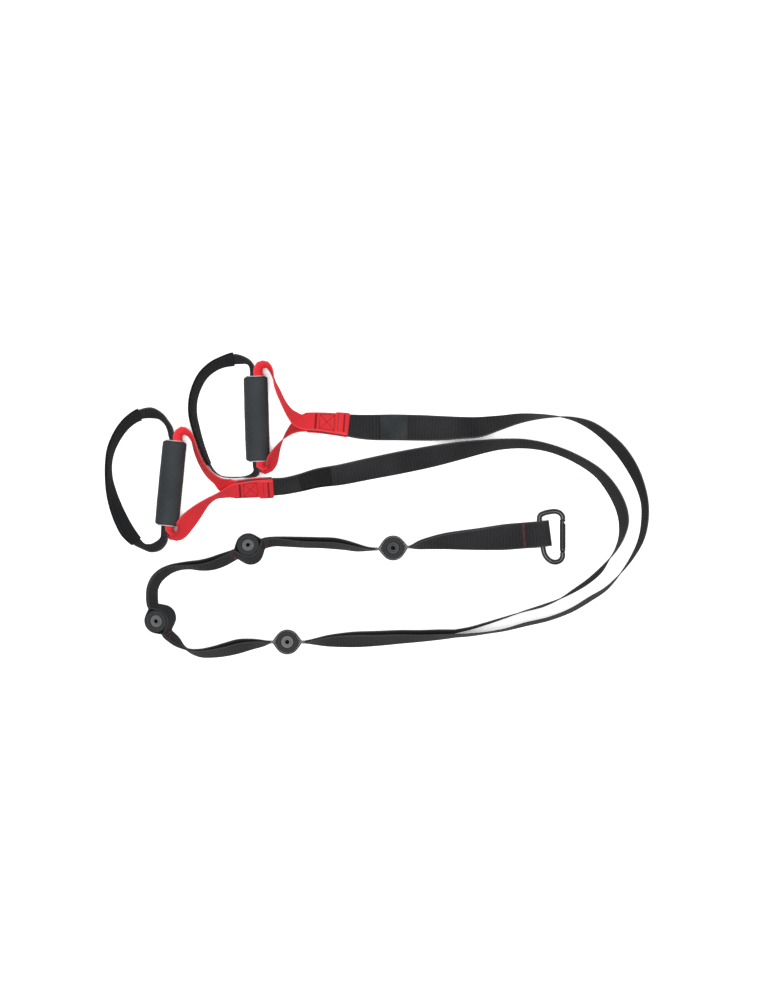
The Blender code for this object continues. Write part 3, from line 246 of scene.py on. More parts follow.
# Routes round the handles: x, y, roll, and the curl as a share of the curl in the tube
LEFT_YOKE_TOP_ROUTE = (
    (226.5, 485.8, 54, 0.0), (218.0, 481.3, 71, 0.0), (210.4, 475.4, 75, 0.0),
    (204.6, 468.6, 78, 0.0), (200.0, 460.6, 80, 0.0), (196.4, 451.6, 81, 0.0),
    (193.6, 444.1, 83, 0.05), (191.0, 438.8, 84, 0.2), (187.4, 435.0, 84, 0.38),
    (183.6, 433.8, 84, 0.68), (181.7, 436.4, 87, 0.92),
)
LEFT_YOKE_BOTTOM_ROUTE = (
    (172.6, 529.6, 97, 0.85), (174.6, 532.8, 108, 0.5), (178.9, 531.4, 122, 0.2),
    (185.3, 524.2, 130, 0.04), (192.8, 515.8, 125, 0.0), (200.2, 508.0, 114, 0.0),
    (207.6, 501.6, 104, 0.0), (216.0, 496.6, 100, 0.0), (225.8, 493.2, 110, 0.0),
)
RIGHT_YOKE_TOP_ROUTE = (
    (297.5, 420.0, 121, 0.0), (291.2, 414.6, 110, 0.0), (286.0, 407.4, 103, 0.0),
    (281.8, 399.6, 100, 0.0), (278.2, 391.6, 99, 0.0), (275.2, 384.4, 95, 0.0),
    (272.8, 377.8, 90, 0.08), (270.0, 371.8, 86, 0.22), (266.6, 368.0, 84, 0.4),
    (263.2, 368.2, 84, 0.7), (261.9, 372.4, 88, 0.92),
)
RIGHT_YOKE_BOTTOM_ROUTE = (
    (263.6, 463.6, 96, 0.85), (266.0, 465.4, 105, 0.5), (269.8, 461.8, 114, 0.2),
    (273.2, 455.6, 112, 0.05), (277.4, 447.8, 102, 0.0), (281.6, 441.0, 93, 0.0),
    (285.8, 435.6, 84, 0.0), (291.8, 430.0, 72, 0.0), (298.6, 426.0, 59, 0.0),
)
LEFT_FOOT_ROUTE = (
    (168.9, 435.6, 86, 0.9), (168.0, 429.6, 74, 0.47), (165.4, 422.0, 73, 0.12),
    (160.0, 415.6, 66, 0.0), (151.5, 412.6, 52, 0.0), (140.0, 414.2, 57, 0.0),
    (131.0, 419.2, 61, 0.0), (123.0, 427.0, 64, 0.0), (116.2, 437.4, 67, 0.0),
    (111.0, 449.5, 71, 0.0), (108.6, 463.0, 75, 0.0), (108.8, 478.0, 73, 0.0),
    (111.4, 493.0, 64, 0.0), (115.8, 507.4, 56, 0.0), (121.2, 520.4, 51, 0.0),
    (127.8, 532.2, 50, 0.0), (136.4, 541.8, 60, 0.0), (143.4, 546.6, 71, 0.0),
    (150.6, 548.2, 62, 0.04), (157.4, 545.4, 55, 0.2), (161.4, 539.2, 62, 0.5),
    (161.4, 532.8, 78, 0.85),
)
RIGHT_FOOT_ROUTE = (
    (250.4, 372.2, 88, 0.85), (249.6, 367.0, 80, 0.45), (246.4, 362.4, 72, 0.12),
    (240.4, 360.2, 60, 0.0), (233.8, 359.8, 53, 0.0), (223.0, 362.4, 60, 0.0),
    (212.6, 367.4, 63, 0.0), (203.4, 375.6, 65, 0.0), (196.6, 387.6, 67, 0.0),
    (192.9, 401.0, 69, 0.0), (192.8, 415.0, 70, 0.0), (195.9, 428.8, 72, 0.0),
    (200.0, 441.8, 76, 0.0), (204.5, 453.8, 79, 0.0), (209.2, 463.8, 83, 0.0),
    (214.5, 471.2, 86, 0.0), (221.5, 475.6, 90, 0.0), (231.0, 476.8, 91, 0.0),
    (241.0, 476.6, 90, 0.0), (249.2, 475.2, 82, 0.08), (254.4, 471.4, 68, 0.35),
    (253.4, 465.8, 80, 0.85),
)
LEFT_PAD_SPAN = (5, 16)  # the route points at which the foot pad starts and ends
RIGHT_PAD_SPAN = (4, 14)

# One side's places. The face is 1 where the camera sees the straps' normals, else -1. The
# layer is the anchor layer that the leg strap runs into. The marks are x of the seam's bar
# tack, of the box's two ends, and of the row and the tack on the folded end.
Side = namedtuple(
    "Side", "grip joint yoke_top yoke_bottom face foot pad leg layer marks lap patch")
SIDES = {
    "left": Side(
        LEFT_GRIP_ENDS, LEFT_JOINT_ROUTE, LEFT_YOKE_TOP_ROUTE, LEFT_YOKE_BOTTOM_ROUTE, -1,
        LEFT_FOOT_ROUTE, LEFT_PAD_SPAN, LEFT_LEG_ROUTE, -1,
        (239.9, 243.5, 257.0, 263.4, 268.4), (333.5, 476.0), ((299.0, 481.5), (331.0, 476.5)),
    ),
    "right": Side(
        RIGHT_GRIP_ENDS, RIGHT_JOINT_ROUTE, RIGHT_YOKE_TOP_ROUTE, RIGHT_YOKE_BOTTOM_ROUTE, 1,
        RIGHT_FOOT_ROUTE, RIGHT_PAD_SPAN, RIGHT_LEG_ROUTE, 1,
        (315.6, 319.5, 334.4, 338.0, 344.0), (375.0, 427.4), ((380.0, 427.4), (408.0, 427.6)),
    ),
}

# Door rollers: x, y, the travel of the strap past them, and their roll
ROLLERS = (
    (287.2, 642.0, (-1.0, 0.0), 90), (160.2, 619.1, (-0.46, 0.888), 112),
    (249.5, 549.0, (0.935, 0.355), 110), (393.1, 548.0, (1.0, 0.06), 90),
)
ROLLER_SEWN_WAYS = ((-1, 1), (-1,), (-1, 1), (-1, 1))  # before and after each roller
# The anchor strap before, between and after them: x, y, roll, and the pixels between the
# middles of its two layers
ANCHOR_ROUTES = (
    ((455.0, 633.6, 83, 4.4), (440.0, 634.6, 79, 4.8), (420.0, 636.0, 75, 4.8),
     (400.0, 636.9, 70, 4.6), (376.0, 638.5, 66, 4.4), (356.0, 639.4, 63, 3.8),
     (341.0, 640.1, 65, 2.8), (326.0, 640.9, 71, 2.0), (313.0, 641.6, 82, 1.5)),
    ((263.0, 643.1, 80, 1.6), (251.0, 644.2, 73, 3.2), (239.0, 646.2, 68, 4.4),
     (226.0, 649.4, 69, 4.2), (213.0, 652.0, 72, 3.0), (201.0, 653.0, 76, 2.0),
     (191.5, 651.2, 84, 1.5), (183.8, 647.2, 94, 1.6), (177.0, 641.6, 106, 1.8)),
    ((152.0, 597.4, 112, 1.7), (152.6, 588.0, 112, 1.5), (156.2, 579.8, 112, 1.4),
     (162.6, 573.4, 110, 1.4), (171.0, 568.8, 105, 1.6), (180.5, 566.3, 100, 2.6),
     (190.5, 565.2, 99, 3.8), (200.5, 565.2, 104, 4.3), (211.0, 563.8, 109, 4.3),
     (221.0, 560.6, 112, 3.4)),
    ((275.0, 541.6, 107, 1.6), (284.0, 541.6, 106, 2.4), (295.0, 542.0, 104, 3.8),
     (307.0, 542.4, 103, 4.6), (321.0, 542.7, 103, 4.6), (334.0, 543.4, 104, 4.6),
     (346.0, 545.2, 102, 4.0), (357.0, 547.6, 100, 2.8), (366.5, 548.8, 95, 1.7)),
    ((418.0, 545.1, 104, 1.4), (430.0, 543.0, 114, 1.4), (446.0, 541.0, 125, 1.4),
     (462.0, 540.0, 134, 1.4), (478.0, 539.1, 143, 1.4), (494.0, 537.9, 155, 1.4),
     (508.0, 536.8, 171, 1.4)),
)
BAR_TACK = (522.5, 535.6)
CARABINER_BAR = (541.5, 534.1)

# The rod's centre line in the carabiner's own frame, from the middle of its strap bar
ROD_ROUTE = (
    (30.7, 25.5), (26.8, 30.6), (20.3, 32.8), (12.3, 32.3), (3.6, 30.3), (-1.9, 27.2),
    (-3.2, 22.4), (0.0, 0.0), (2.7, -22.6), (4.5, -29.2), (8.9, -35.7), (15.2, -39.9),
    (21.7, -40.6), (28.0, -37.6), (30.6, -32.4),
)  # millimetres
BAR_END, BAR_START = 6, 8  # of these, the ends of the straight bar in the anchor loop


def spot(x, y):
    """The place on the floor of a pixel."""
    return Vector(((x - CENTRE_X) * PIXEL, (CENTRE_Y - y) * PIXEL, 0.0))


class Guide:
    """A cross-section that a strap passes through: its middle, the direction of its width,
    and how far it is curled, in radians, with its edges away from the normal."""

    def __init__(self, point, across, curl=0.0):
        self.point = Vector(point)
        self.across = Vector(across).normalized()
        self.curl = float(curl)


def up(height):
    """A rise, or with 1 the direction upwards."""
    return Vector((0.0, 0.0, height))


def right_of(travel):
    """The level direction to the right of a travel."""
    return Vector((travel.y, -travel.x, 0.0)).normalized()


def across_of(travel, roll):
    """The width's direction for a roll in degrees, of a strap that travels this way."""
    angle = math.radians(roll)
    return math.cos(angle) * right_of(travel) + math.sin(angle) * up(1.0)


def square(direction, axis):
    """The direction, turned square to an axis."""
    return (direction - direction.dot(axis) * axis).normalized()


def around(items, closed=False):
    """The items before and after each one. At an open end the item itself stands in."""
    last = len(items) - 1
    if closed:
        return [(items[i - 1], items[(i + 1) % (last + 1)]) for i in range(last + 1)]
    return [(items[max(i - 1, 0)], items[min(i + 1, last)]) for i in range(last + 1)]


def travels(points, closed=False):
    """The direction of travel at each point of a route."""
    return [(ahead - behind).normalized() for behind, ahead in around(points, closed)]


def flat_travels(places, closed):
    """The level direction of travel at each of these places."""
    return [
        Vector((ahead[0] - behind[0], ahead[1] - behind[1], 0.0)).normalized()
        for behind, ahead in around(places, closed)
    ]


def bend(width, curl, share):
    """Where a share of the width stands on a curled section: along it, and back from its
    normal."""
    if abs(curl) < STRAIGHT:
        return share * width, 0.0
    radius = width / curl
    angle = share * curl
    return radius * math.sin(angle), radius * (1 - math.cos(angle))


def resting_height(width, thickness, across, travel, curl=0.0):
    """The height of a strap's middle when its lowest edge touches the floor."""
    normal = across.cross(travel)
    lowest = 0.0
    for share in WIDTH_SHARES:
        along, back = bend(width, curl, share)
        facing = math.cos(share * curl) * normal.z + math.sin(share * curl) * across.z
        half = thickness / 2 * abs(facing)
        lowest = min(lowest, along * across.z - back * normal.z - half)
    return -lowest


def floor_guides(route, width, stack, side=0.0):
    """Guides for a strap that lies on the floor as one of a stack of layers, shifted along
    the stack's normal by side."""
    points = [spot(x, y) for x, y, _roll in route]
    guides = []
    for point, travel, station in zip(points, travels(points), route):
        across = across_of(travel, station[2])
        height = resting_height(width, stack, across, travel)
        place = point + up(height) + side * across.cross(travel)
        guides.append(Guide(place, across))
    return guides


def catmull_rom(before, start, end, after, share):
    """A point between start and end of a smooth curve, for arrays whose first three values
    are a place. The spacing follows the square root of the distance."""
    def gap(one, other):
        return max(np.linalg.norm(other[:3] - one[:3]), MM) ** 0.5

    t1 = gap(before, start)
    t2 = t1 + gap(start, end)
    t3 = t2 + gap(end, after)
    t = t1 + share * (t2 - t1)
    a1 = (t1 - t) / t1 * before + t / t1 * start
    a2 = (t2 - t) / (t2 - t1) * start + (t - t1) / (t2 - t1) * end
    a3 = (t3 - t) / (t3 - t2) * end + (t - t2) / (t3 - t2) * after
    b1 = (t2 - t) / t2 * a1 + t / t2 * a2
    b2 = (t3 - t) / (t3 - t1) * a2 + (t - t1) / (t3 - t1) * a3
    return (t2 - t) / (t2 - t1) * b1 + (t - t1) / (t2 - t1) * b2


def spans(values, closed=False):
    """The four values round each span of a curve, which runs on straight at open ends."""
    count = len(values)
    if closed:
        return [[values[(i + k) % count] for k in (-1, 0, 1, 2)] for i in range(count)]
    values = [2 * values[0] - values[1], *values, 2 * values[-1] - values[-2]]
    return [values[i : i + 4] for i in range(count - 1)]


def smooth_rows(guides, width, thickness, steps, closed=False):
    """Rows (middle, width direction, curl) along a smooth curve through the guides. The
    height is kept as a lift above the resting height, so that a strap on the floor stays
    on it between two guides."""
    values = []
    for guide, travel in zip(guides, flat_travels([g.point for g in guides], closed)):
        rest = resting_height(width, thickness, guide.across, travel, guide.curl)
        lift = guide.point.z - rest
        values.append(np.array([*guide.point.xy, lift, *guide.across, guide.curl]))
    rows = [
        catmull_rom(*four, k / number)
        for four, number in zip(spans(values, closed), steps) for k in range(number)
    ]
    if not closed:
        rows.append(values[-1])
    guided = []
    for (x, y, lift, *across, curl), travel in zip(rows, flat_travels(rows, closed)):
        across = Vector(across).normalized()
        rest = resting_height(width, thickness, across, travel, curl)
        guided.append(Guide((x, y, lift + rest), across, curl))
    return guided


def frames(rows, closed=False):
    """(middle, width direction, normal, curl) of each row, square to its travel."""
    found = []
    for row, travel in zip(rows, travels([row.point for row in rows], closed)):
        across = square(row.across, travel)
        found.append((row.point, across, across.cross(travel), row.curl))
    return found


class Handle:
    """The place and axis of one handle, from the pixels of its two ends."""

    def __init__(self, ends):
        top = spot(*ends[0])
        bottom = spot(*ends[1])
        self.centre = (top + bottom) / 2 + up(FOAM_RADIUS + FOAM_CROWN)
        self.axis = (top - bottom).normalized()
        self.side = right_of(self.axis)
        self.photo_half = (top - bottom).length / 2
        self.half = TUBE_LENGTH / 2

    def place(self, x, y):
        """A pixel's place on the floor, moved with the tube's end if the tube is longer or
        shorter than the pixels say."""
        point = spot(x, y)
        along = (point - self.centre).dot(self.axis)
        share = max(-1.0, min(1.0, along / self.photo_half))
        return point + share * (self.half - self.photo_half) * self.axis

    def guides(self, route, width, tuck_radius, rest_width, rest_thickness):
        """Guides for a route that starts or ends in the tube's mouth."""
        points = [self.place(x, y) for x, y, _roll, _share in route]
        made = []
        for point, travel, (_x, _y, roll, share) in zip(points, travels(points), route):
            across = across_of(travel, roll)
            curl = share * width / tuck_radius
            rest = resting_height(rest_width, rest_thickness, across, travel, curl)
            height = rest + share * (self.centre.z - rest)
            made.append(Guide((point.x, point.y, height), across, curl))
        return made

    def tube_guides(self, width, tuck_radius, travel):
        """Guides inside the tube, where the strap is curled round the axis, on edge."""
        across = up(1.0)
        made = []
        for share in TUBE_SHARES:
            point = self.centre + share * self.half * travel
            middle = point + tuck_radius * across.cross(travel)
            made.append(Guide(middle, across, width / tuck_radius))
        return made


def matrix_of(x_axis, z_axis, place):
    """A rotation with these two axes, and a place."""
    y_axis = z_axis.cross(x_axis)
    turn = Matrix((x_axis, y_axis, z_axis)).transposed().to_4x4()
    return Matrix.Translation(place) @ turn


def end_fold(guides, travel, layer_side):
    """The guides of a strap's end turned back on itself, beside a layer that ends at the
    last of these guides."""
    last = guides[-1]
    normal = last.across.cross(travel).normalized()
    step = math.copysign(SEAM_LAYER_GAP, layer_side) * normal
    turn = Guide(last.point + step / 2 + SEAM_LAYER_GAP / 2 * travel, last.across)
    back = round(END_FOLD_LENGTH / (guides[-2].point - last.point).length)
    folded = [Guide(guide.point + step, guide.across) for guide in guides[-1 : -2 - back : -1]]
    return [turn, *folded]


def closer_stations(route):
    """A seam's route with a station at every few pixels of x."""
    xs = [station[0] for station in route]
    count = round((xs[-1] - xs[0]) / SEAM_STEP)
    stations = []
    for k in range(count + 1):
        x = xs[0] + (xs[-1] - xs[0]) * k / count
        y, roll = (np.interp(x, xs, [station[i] for station in route]) for i in (1, 2))
        stations.append((x, float(y), float(roll)))
    return stations


def pocket_rows(centre, axis, travel, side):
    """The middles of one layer round a roller: side is 1 on the left of the travel."""
    radius = POCKET_RADIUS
    reach = PINCH_SHARE * radius
    along = square(travel, axis)
    out = side * axis.cross(along)
    contact = math.acos(1 / PINCH_SHARE)
    pinch = reach * along
    lead = (reach + PINCH_LEAD) * along
    apart = PINCH_GAP / 2 * out
    arc = []
    for k in range(POCKET_STEPS + 1):
        angle = contact + (math.pi - 2 * contact) * k / POCKET_STEPS
        arc.append(radius * (math.sin(angle) * out - math.cos(angle) * along))
    before = [apart - lead, apart - pinch, (apart - pinch + arc[0]) / 2]
    after = [(apart + pinch + arc[-1]) / 2, apart + pinch, apart + lead]
    return [Guide(centre + place, axis) for place in before + arc + after]


def roller_frame(roller):
    """The middle and the axis of a roller that stands or leans on the floor."""
    x, y, travel, roll = roller
    travel = Vector((*travel, 0.0)).normalized()
    axis = across_of(travel, roll)
    lean = math.sqrt(max(0.0, 1 - axis.z * axis.z))
    height = ROLLER_LENGTH / 2 * axis.z + ROLLER_RADIUS * lean
    return spot(x, y) + up(height), axis, travel


def roller_lift(point):
    """How far the seam is held up here by a leaning roller near it."""
    lift = 0.0
    for roller in ROLLERS:
        centre, axis, travel = roller_frame(roller)
        rest = resting_height(WEBBING_WIDTH, WEBBING_THICKNESS + LAYER_GAP, axis, travel)
        apart = (point.xy - centre.xy).length - PINCH_SHARE * POCKET_RADIUS
        share = max(0.0, min(1.0, 1 - apart / LIFT_REACH))
        lift += (centre.z - rest) * share * share
    return up(lift)


def layer_guides(route, side):
    """Guides for one layer of the anchor strap between two rollers."""
    points = [spot(x, y) for x, y, _roll, _gap in route]
    made = []
    for point, travel, (_x, _y, roll, gap) in zip(points, travels(points), route):
        across = across_of(travel, roll)
        apart = max(gap * PIXEL, LAYER_GAP)
        height = resting_height(WEBBING_WIDTH, WEBBING_THICKNESS + apart, across, travel)
        place = point + up(height) + side * apart / 2 * across.cross(travel)
        place += roller_lift(point)
        made.append(Guide(place, across))
    return made


def rod_points():
    """The carabiner's rod, in its own frame."""
    return [Vector((x * MM, y * MM, 0.0)) for x, y in ROD_ROUTE]


def loop_frame():
    """The end of the anchor loop: the bar's middle over the floor, and the way to it."""
    bar = spot(*CARABINER_BAR)
    rod = rod_points()
    slant = (rod[BAR_END] - rod[BAR_START]).normalized()
    return bar, right_of(slant), slant


def loop_guides():
    """The fold round the carabiner's bar: out under it, round, and back over it."""
    bar, ahead, across = loop_frame()
    tack = spot(*BAR_TACK)
    floor = WEBBING_THICKNESS / 2
    top = 2 * LOOP_RADIUS + floor
    centre = LOOP_REACH - WEBBING_THICKNESS / 2 - LOOP_RADIUS
    places = [(tack, floor)]
    places += [(bar + share * LOOP_REACH * ahead, floor) for share in LOOP_START_SHARES]
    for k in range(LOOP_STEPS + 1):
        angle = math.pi * k / LOOP_STEPS
        place = bar + (centre + LOOP_RADIUS * math.sin(angle)) * ahead
        places.append((place, floor + LOOP_RADIUS * (1 - math.cos(angle))))
    places.append((bar, top))
    for share, height in LOOP_RISES:
        rise = floor + LAYER_GAP + height * (top - floor - LAYER_GAP)
        places.append((bar.lerp(tack, share), rise))
    places.append((tack + LAP * ahead, floor + LAYER_GAP))
    return [Guide(place + up(height), across) for place, height in places]


def flat_profile(width, thickness, strips=STRAP_STRIPS):
    """(across, off the middle) round a strap's section, with rounded selvedges."""
    half = thickness / 2
    inner = width / 2 - half
    top = [(-inner + 2 * inner * k / strips, half) for k in range(strips + 1)]
    selvedge = [(inner + half * math.sin(a), half * math.cos(a)) for a in SELVEDGE_ANGLES]
    other = [(-x, -y) for x, y in selvedge]
    return top + selvedge + [(x, -y) for x, y in top[::-1]] + other


def padded_profile(width, thickness):
    """The section of a stuffed sleeve: crowned, with a sewn channel beside each edge."""
    points = []
    for k in range(PAD_STRIPS + 1):
        share = 2 * k / PAD_STRIPS - 1
        rise = (1 - abs(share) ** PAD_ROUNDNESS) ** 0.5
        crown = PAD_EDGE + (1 - PAD_EDGE) * rise
        channel = math.exp(-(((abs(share) - CHANNEL_PLACE) / CHANNEL_WIDTH) ** 2))
        points.append((share * width / 2, thickness / 2 * (crown - CHANNEL_DEPTH * channel)))
    rim = thickness / 2 * PAD_RIM
    out = width / 2 + rim * PAD_RIM_BULGE
    side = [(out, rim), (out, -rim)]
    top = points[1:-1]
    low = [(x, -y) for x, y in points[1:-1][::-1]]
    return top + side + low + [(-x, -y) for x, y in side]


class Strap:
    """A strap's cross-sections, and the places on its faces."""

    def __init__(self, rows, width, closed=False):
        self.width = width
        self.closed = closed
        self.frames = frames(rows, closed)
        points = [f[0] for f in self.frames]
        steps = [0.0] + [(b - a).length for a, b in zip(points, points[1:])]
        self.run = list(np.cumsum(steps))
        self.length = self.run[-1]

    def facing(self, index, u, lift):
        """A point u across row index and lift off its middle surface, and its normal."""
        middle, across, normal, curl = self.frames[index]
        along, back = bend(self.width, curl, u / self.width)
        angle = curl * u / self.width
        out = math.cos(angle) * normal + math.sin(angle) * across
        return middle + along * across - back * normal + lift * out, out

    def near(self, place):
        """The row nearest to a place: a 2-D one is compared as seen from above."""
        size = len(place)
        return min(
            range(len(self.frames)),
            key=lambda i: (Vector(self.frames[i][0][:size]) - place).length,
        )

    def at(self, run, u, lift):
        """A point at a length along the strap, between two rows."""
        run = min(max(run, 0.0), self.length)
        index = min(int(np.searchsorted(self.run, run, side="right")) - 1, len(self.run) - 2)
        index = max(index, 0)
        step = max(self.run[index + 1] - self.run[index], NO_LENGTH)
        share = (run - self.run[index]) / step
        a, m = self.facing(index, u, lift)
        b, n = self.facing(index + 1, u, lift)
        return a.lerp(b, share), m.lerp(n, share).normalized()

    def on_face(self, side, lift):
        """Places at a height on one face: side is 1 for the normal's side, -1 for the other."""
        def place(run, u):
            point, normal = self.at(run, u, side * lift)
            return point, side * normal

        return place

    def path(self):
        """The middles of all rows."""
        return [f[0] for f in self.frames]


def new_object(name, mesh, finish, smooth_angle=SMOOTH_ANGLE):
    """An object in the scene, with one finish and with edges sharper than the angle kept."""
    thing = bpy.data.objects.new(name, mesh)
    bpy.context.scene.collection.objects.link(thing)
    mesh.materials.append(finish)
    mesh.shade_smooth()
    mesh.set_sharp_from_angle(angle=math.radians(smooth_angle))
    return thing


def in_one_order(work):
    """Sorts the faces by their corners, because the order in which an operation adds them
    can differ from run to run."""
    work.verts.index_update()
    count = len(work.verts)

    def place(face):
        first, second, *_others, last = sorted(vert.index for vert in face.verts)
        return (first * count + second) * count + last

    work.faces.sort(key=place)
    work.faces.index_update()


def built(name, work, finish, smooth_angle=SMOOTH_ANGLE, matrix=None):
    """An object of a finished bmesh, which is used up."""
    mesh = bpy.data.meshes.new(name)
    work.to_mesh(mesh)
    work.free()
    if matrix:
        mesh.transform(matrix)
    return new_object(name, mesh, finish, smooth_angle)


def webbing(name, strap, profile, finish):
    """A strap's mesh. Its weave map holds metres across and along the strap."""
    work = bmesh.new()
    weave = work.loops.layers.uv.new("weave")
    rings = []
    for index in range(len(strap.frames)):
        ring = [strap.facing(index, u, off)[0] for u, off in profile]
        lowest = min(0.0, *(point.z for point in ring))
        rings.append([work.verts.new(point - up(lowest)) for point in ring])
    count = len(rings)
    size = len(profile)
    for i in range(count if strap.closed else count - 1):
        here, there = rings[i], rings[(i + 1) % count]
        run = strap.run[i]
        after = strap.run[i + 1] if i + 1 < count else run + ROW_STEP
        for k in range(size):
            m = (k + 1) % size
            face = work.faces.new((here[k], there[k], there[m], here[m]))
            ends = ((profile[k][0], run), (profile[k][0], after), (profile[m][0], after),
                    (profile[m][0], run))
            for loop, end in zip(face.loops, ends):
                loop[weave].uv = end
    if not strap.closed:
        work.faces.new(rings[0])
        work.faces.new(rings[-1][::-1])
    bmesh.ops.recalc_face_normals(work, faces=work.faces)
    return built(name, work, finish)


def tube_rings(work, points, radius, sides):
    """A round tube through points, with flat ends."""
    rings = []
    side = None
    for point, travel in zip(points, travels(points)):
        if side is None:
            side = travel.orthogonal().normalized()
        side = square(side, travel)
        other = travel.cross(side)
        ring = []
        for k in range(sides):
            angle = 2 * math.pi * k / sides
            ring.append(work.verts.new(
                point + radius * (math.cos(angle) * side + math.sin(angle) * other)
            ))
        rings.append(ring)
    for here, there in zip(rings, rings[1:]):
        for k in range(sides):
            m = (k + 1) % sides
            work.faces.new((here[k], here[m], there[m], there[k]))
    work.faces.new(rings[0][::-1])
    work.faces.new(rings[-1])


def strap_piece(name, strap, profile, finish, body, slot, node):
    """The webbing of a strap, in place of its solid."""
    return put(webbing(name, strap, profile, finish_of(finish)), body, slot, node)


class Stitching:
    """Thread laid on a surface that place(run, u) gives as a point and its normal."""

    def __init__(self, radius):
        self.work = bmesh.new()
        self.radius = radius

    def row(self, place, start, end, pitch=STITCH_PITCH):
        """Running stitches from one (run, u) to another."""
        start, end = Vector(start), Vector(end)
        count = max(1, round((end - start).length / pitch))
        for k in range(count):
            points = []
            for share, lift in STITCH_PATH:
                point, normal = place(*start.lerp(end, (k + share) / count))
                points.append(point + lift * self.radius * normal)
            tube_rings(self.work, points, self.radius, THREAD_SIDES)

    def line(self, place, run, reach, pitch=STITCH_PITCH):
        """Running stitches straight across the strap."""
        self.row(place, (run, -reach), (run, reach), pitch)

    def bar(self, place, run, reach, half=TACK_HALF, pitch=TACK_PITCH):
        """A bar tack: a close zigzag across the strap."""
        count = round(2 * reach / pitch)
        points = []
        for k in range(count + 1):
            side = half if k % 2 else -half
            point, normal = place(run + side, -reach + 2 * reach * k / count)
            points.append(point + TACK_LIFT * self.radius * normal)
        tube_rings(self.work, points, self.radius * TACK_THREAD, THREAD_SIDES)

    def box(self, place, low, high, inset):
        """A box with its two diagonals."""
        corners = [(low, -inset), (high, -inset), (high, inset), (low, inset)]
        for a, b in zip(corners, corners[1:] + corners[:1]):
            self.row(place, a, b)
        self.row(place, corners[0], corners[2])
        self.row(place, corners[1], corners[3])

    def finished(self, name, finish):
        """The object with all the stitches so far."""
        return built(name, self.work, finish)


def revolved(name, profile, finish, matrix, segments=TURNED_SEGMENTS):
    """A turned piece: a closed profile of (radius, height) round its own Z axis. Its weave
    map holds metres round it and along it."""
    work = bmesh.new()
    weave = work.loops.layers.uv.new("weave")
    angles = [2 * math.pi * k / segments for k in range(segments)]
    rings = [
        [work.verts.new((radius * math.cos(a), radius * math.sin(a), height)) for a in angles]
        for radius, height in profile
    ]
    turn = 2 * math.pi * max(radius for radius, _height in profile) / segments
    for i, here in enumerate(rings):
        j = (i + 1) % len(rings)
        for k in range(segments):
            m = (k + 1) % segments
            face = work.faces.new((here[k], here[m], rings[j][m], rings[j][k]))
            ends = ((k, i), (k + 1, i), (k + 1, j), (k, j))
            for loop, (steps, ring) in zip(face.loops, ends):
                loop[weave].uv = (steps * turn, profile[ring][1])
    bmesh.ops.recalc_face_normals(work, faces=work.faces)
    return built(name, work, finish, TURNED_SMOOTH_ANGLE, matrix)


def mirrored(profile):
    """The lower half of a turned piece's profile."""
    return [(radius, -height) for radius, height in profile[::-1]]


def smooth_points(points, step):
    """Points along a smooth curve through these, about this far apart."""
    values = [np.array(point) for point in points]
    places = []
    for four in spans(values):
        number = max(1, round(np.linalg.norm(four[2] - four[1]) / step))
        places += [Vector(catmull_rom(*four, k / number)) for k in range(number)]
    return [*places, Vector(values[-1])]


def carabiner_matrix():
    """The carabiner's own frame: its bar in the anchor loop, its gate's side on the floor."""
    height = WEBBING_THICKNESS / 2 + LOOP_RADIUS
    sink = math.asin((height - GATE_RADIUS) / GATE_X)
    tilt = Matrix.Rotation(sink, 4, "Y")
    return Matrix.Translation(spot(*CARABINER_BAR) + up(height)) @ tilt


def put(piece, body, slot, *nodes):
    """Sets a finished piece on its body, in place of CAD nodes."""
    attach(piece, body)
    if nodes:
        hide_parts(*nodes)
    return piece


class Socket:
    """An output socket that takes part in arithmetic by adding Math nodes."""

    def __init__(self, surface, socket):
        self.surface = surface
        self.socket = socket

    def _math(self, operation, *others):
        return self.surface.math(operation, self, *others)

    def __add__(self, other):
        return self._math("ADD", other)

    __radd__ = __add__

    def __mul__(self, other):
        return self._math("MULTIPLY", other)

    __rmul__ = __mul__

    def __sub__(self, other):
        return self._math("SUBTRACT", other)

    def __rsub__(self, other):
        return self.surface.math("SUBTRACT", other, self)

    def __truediv__(self, other):
        return self._math("DIVIDE", other)

    def __rtruediv__(self, other):
        return self.surface.math("DIVIDE", other, self)

    def __abs__(self):
        return self._math("ABSOLUTE")

    def sine(self):
        return self._math("SINE")

    def held(self):
        """Kept between 0 and 1."""
        return self._math("MAXIMUM", 0.0)._math("MINIMUM", 1.0)

    def beside(self, name):
        """Another output of the same node."""
        return Socket(self.surface, self.socket.node.outputs[name])


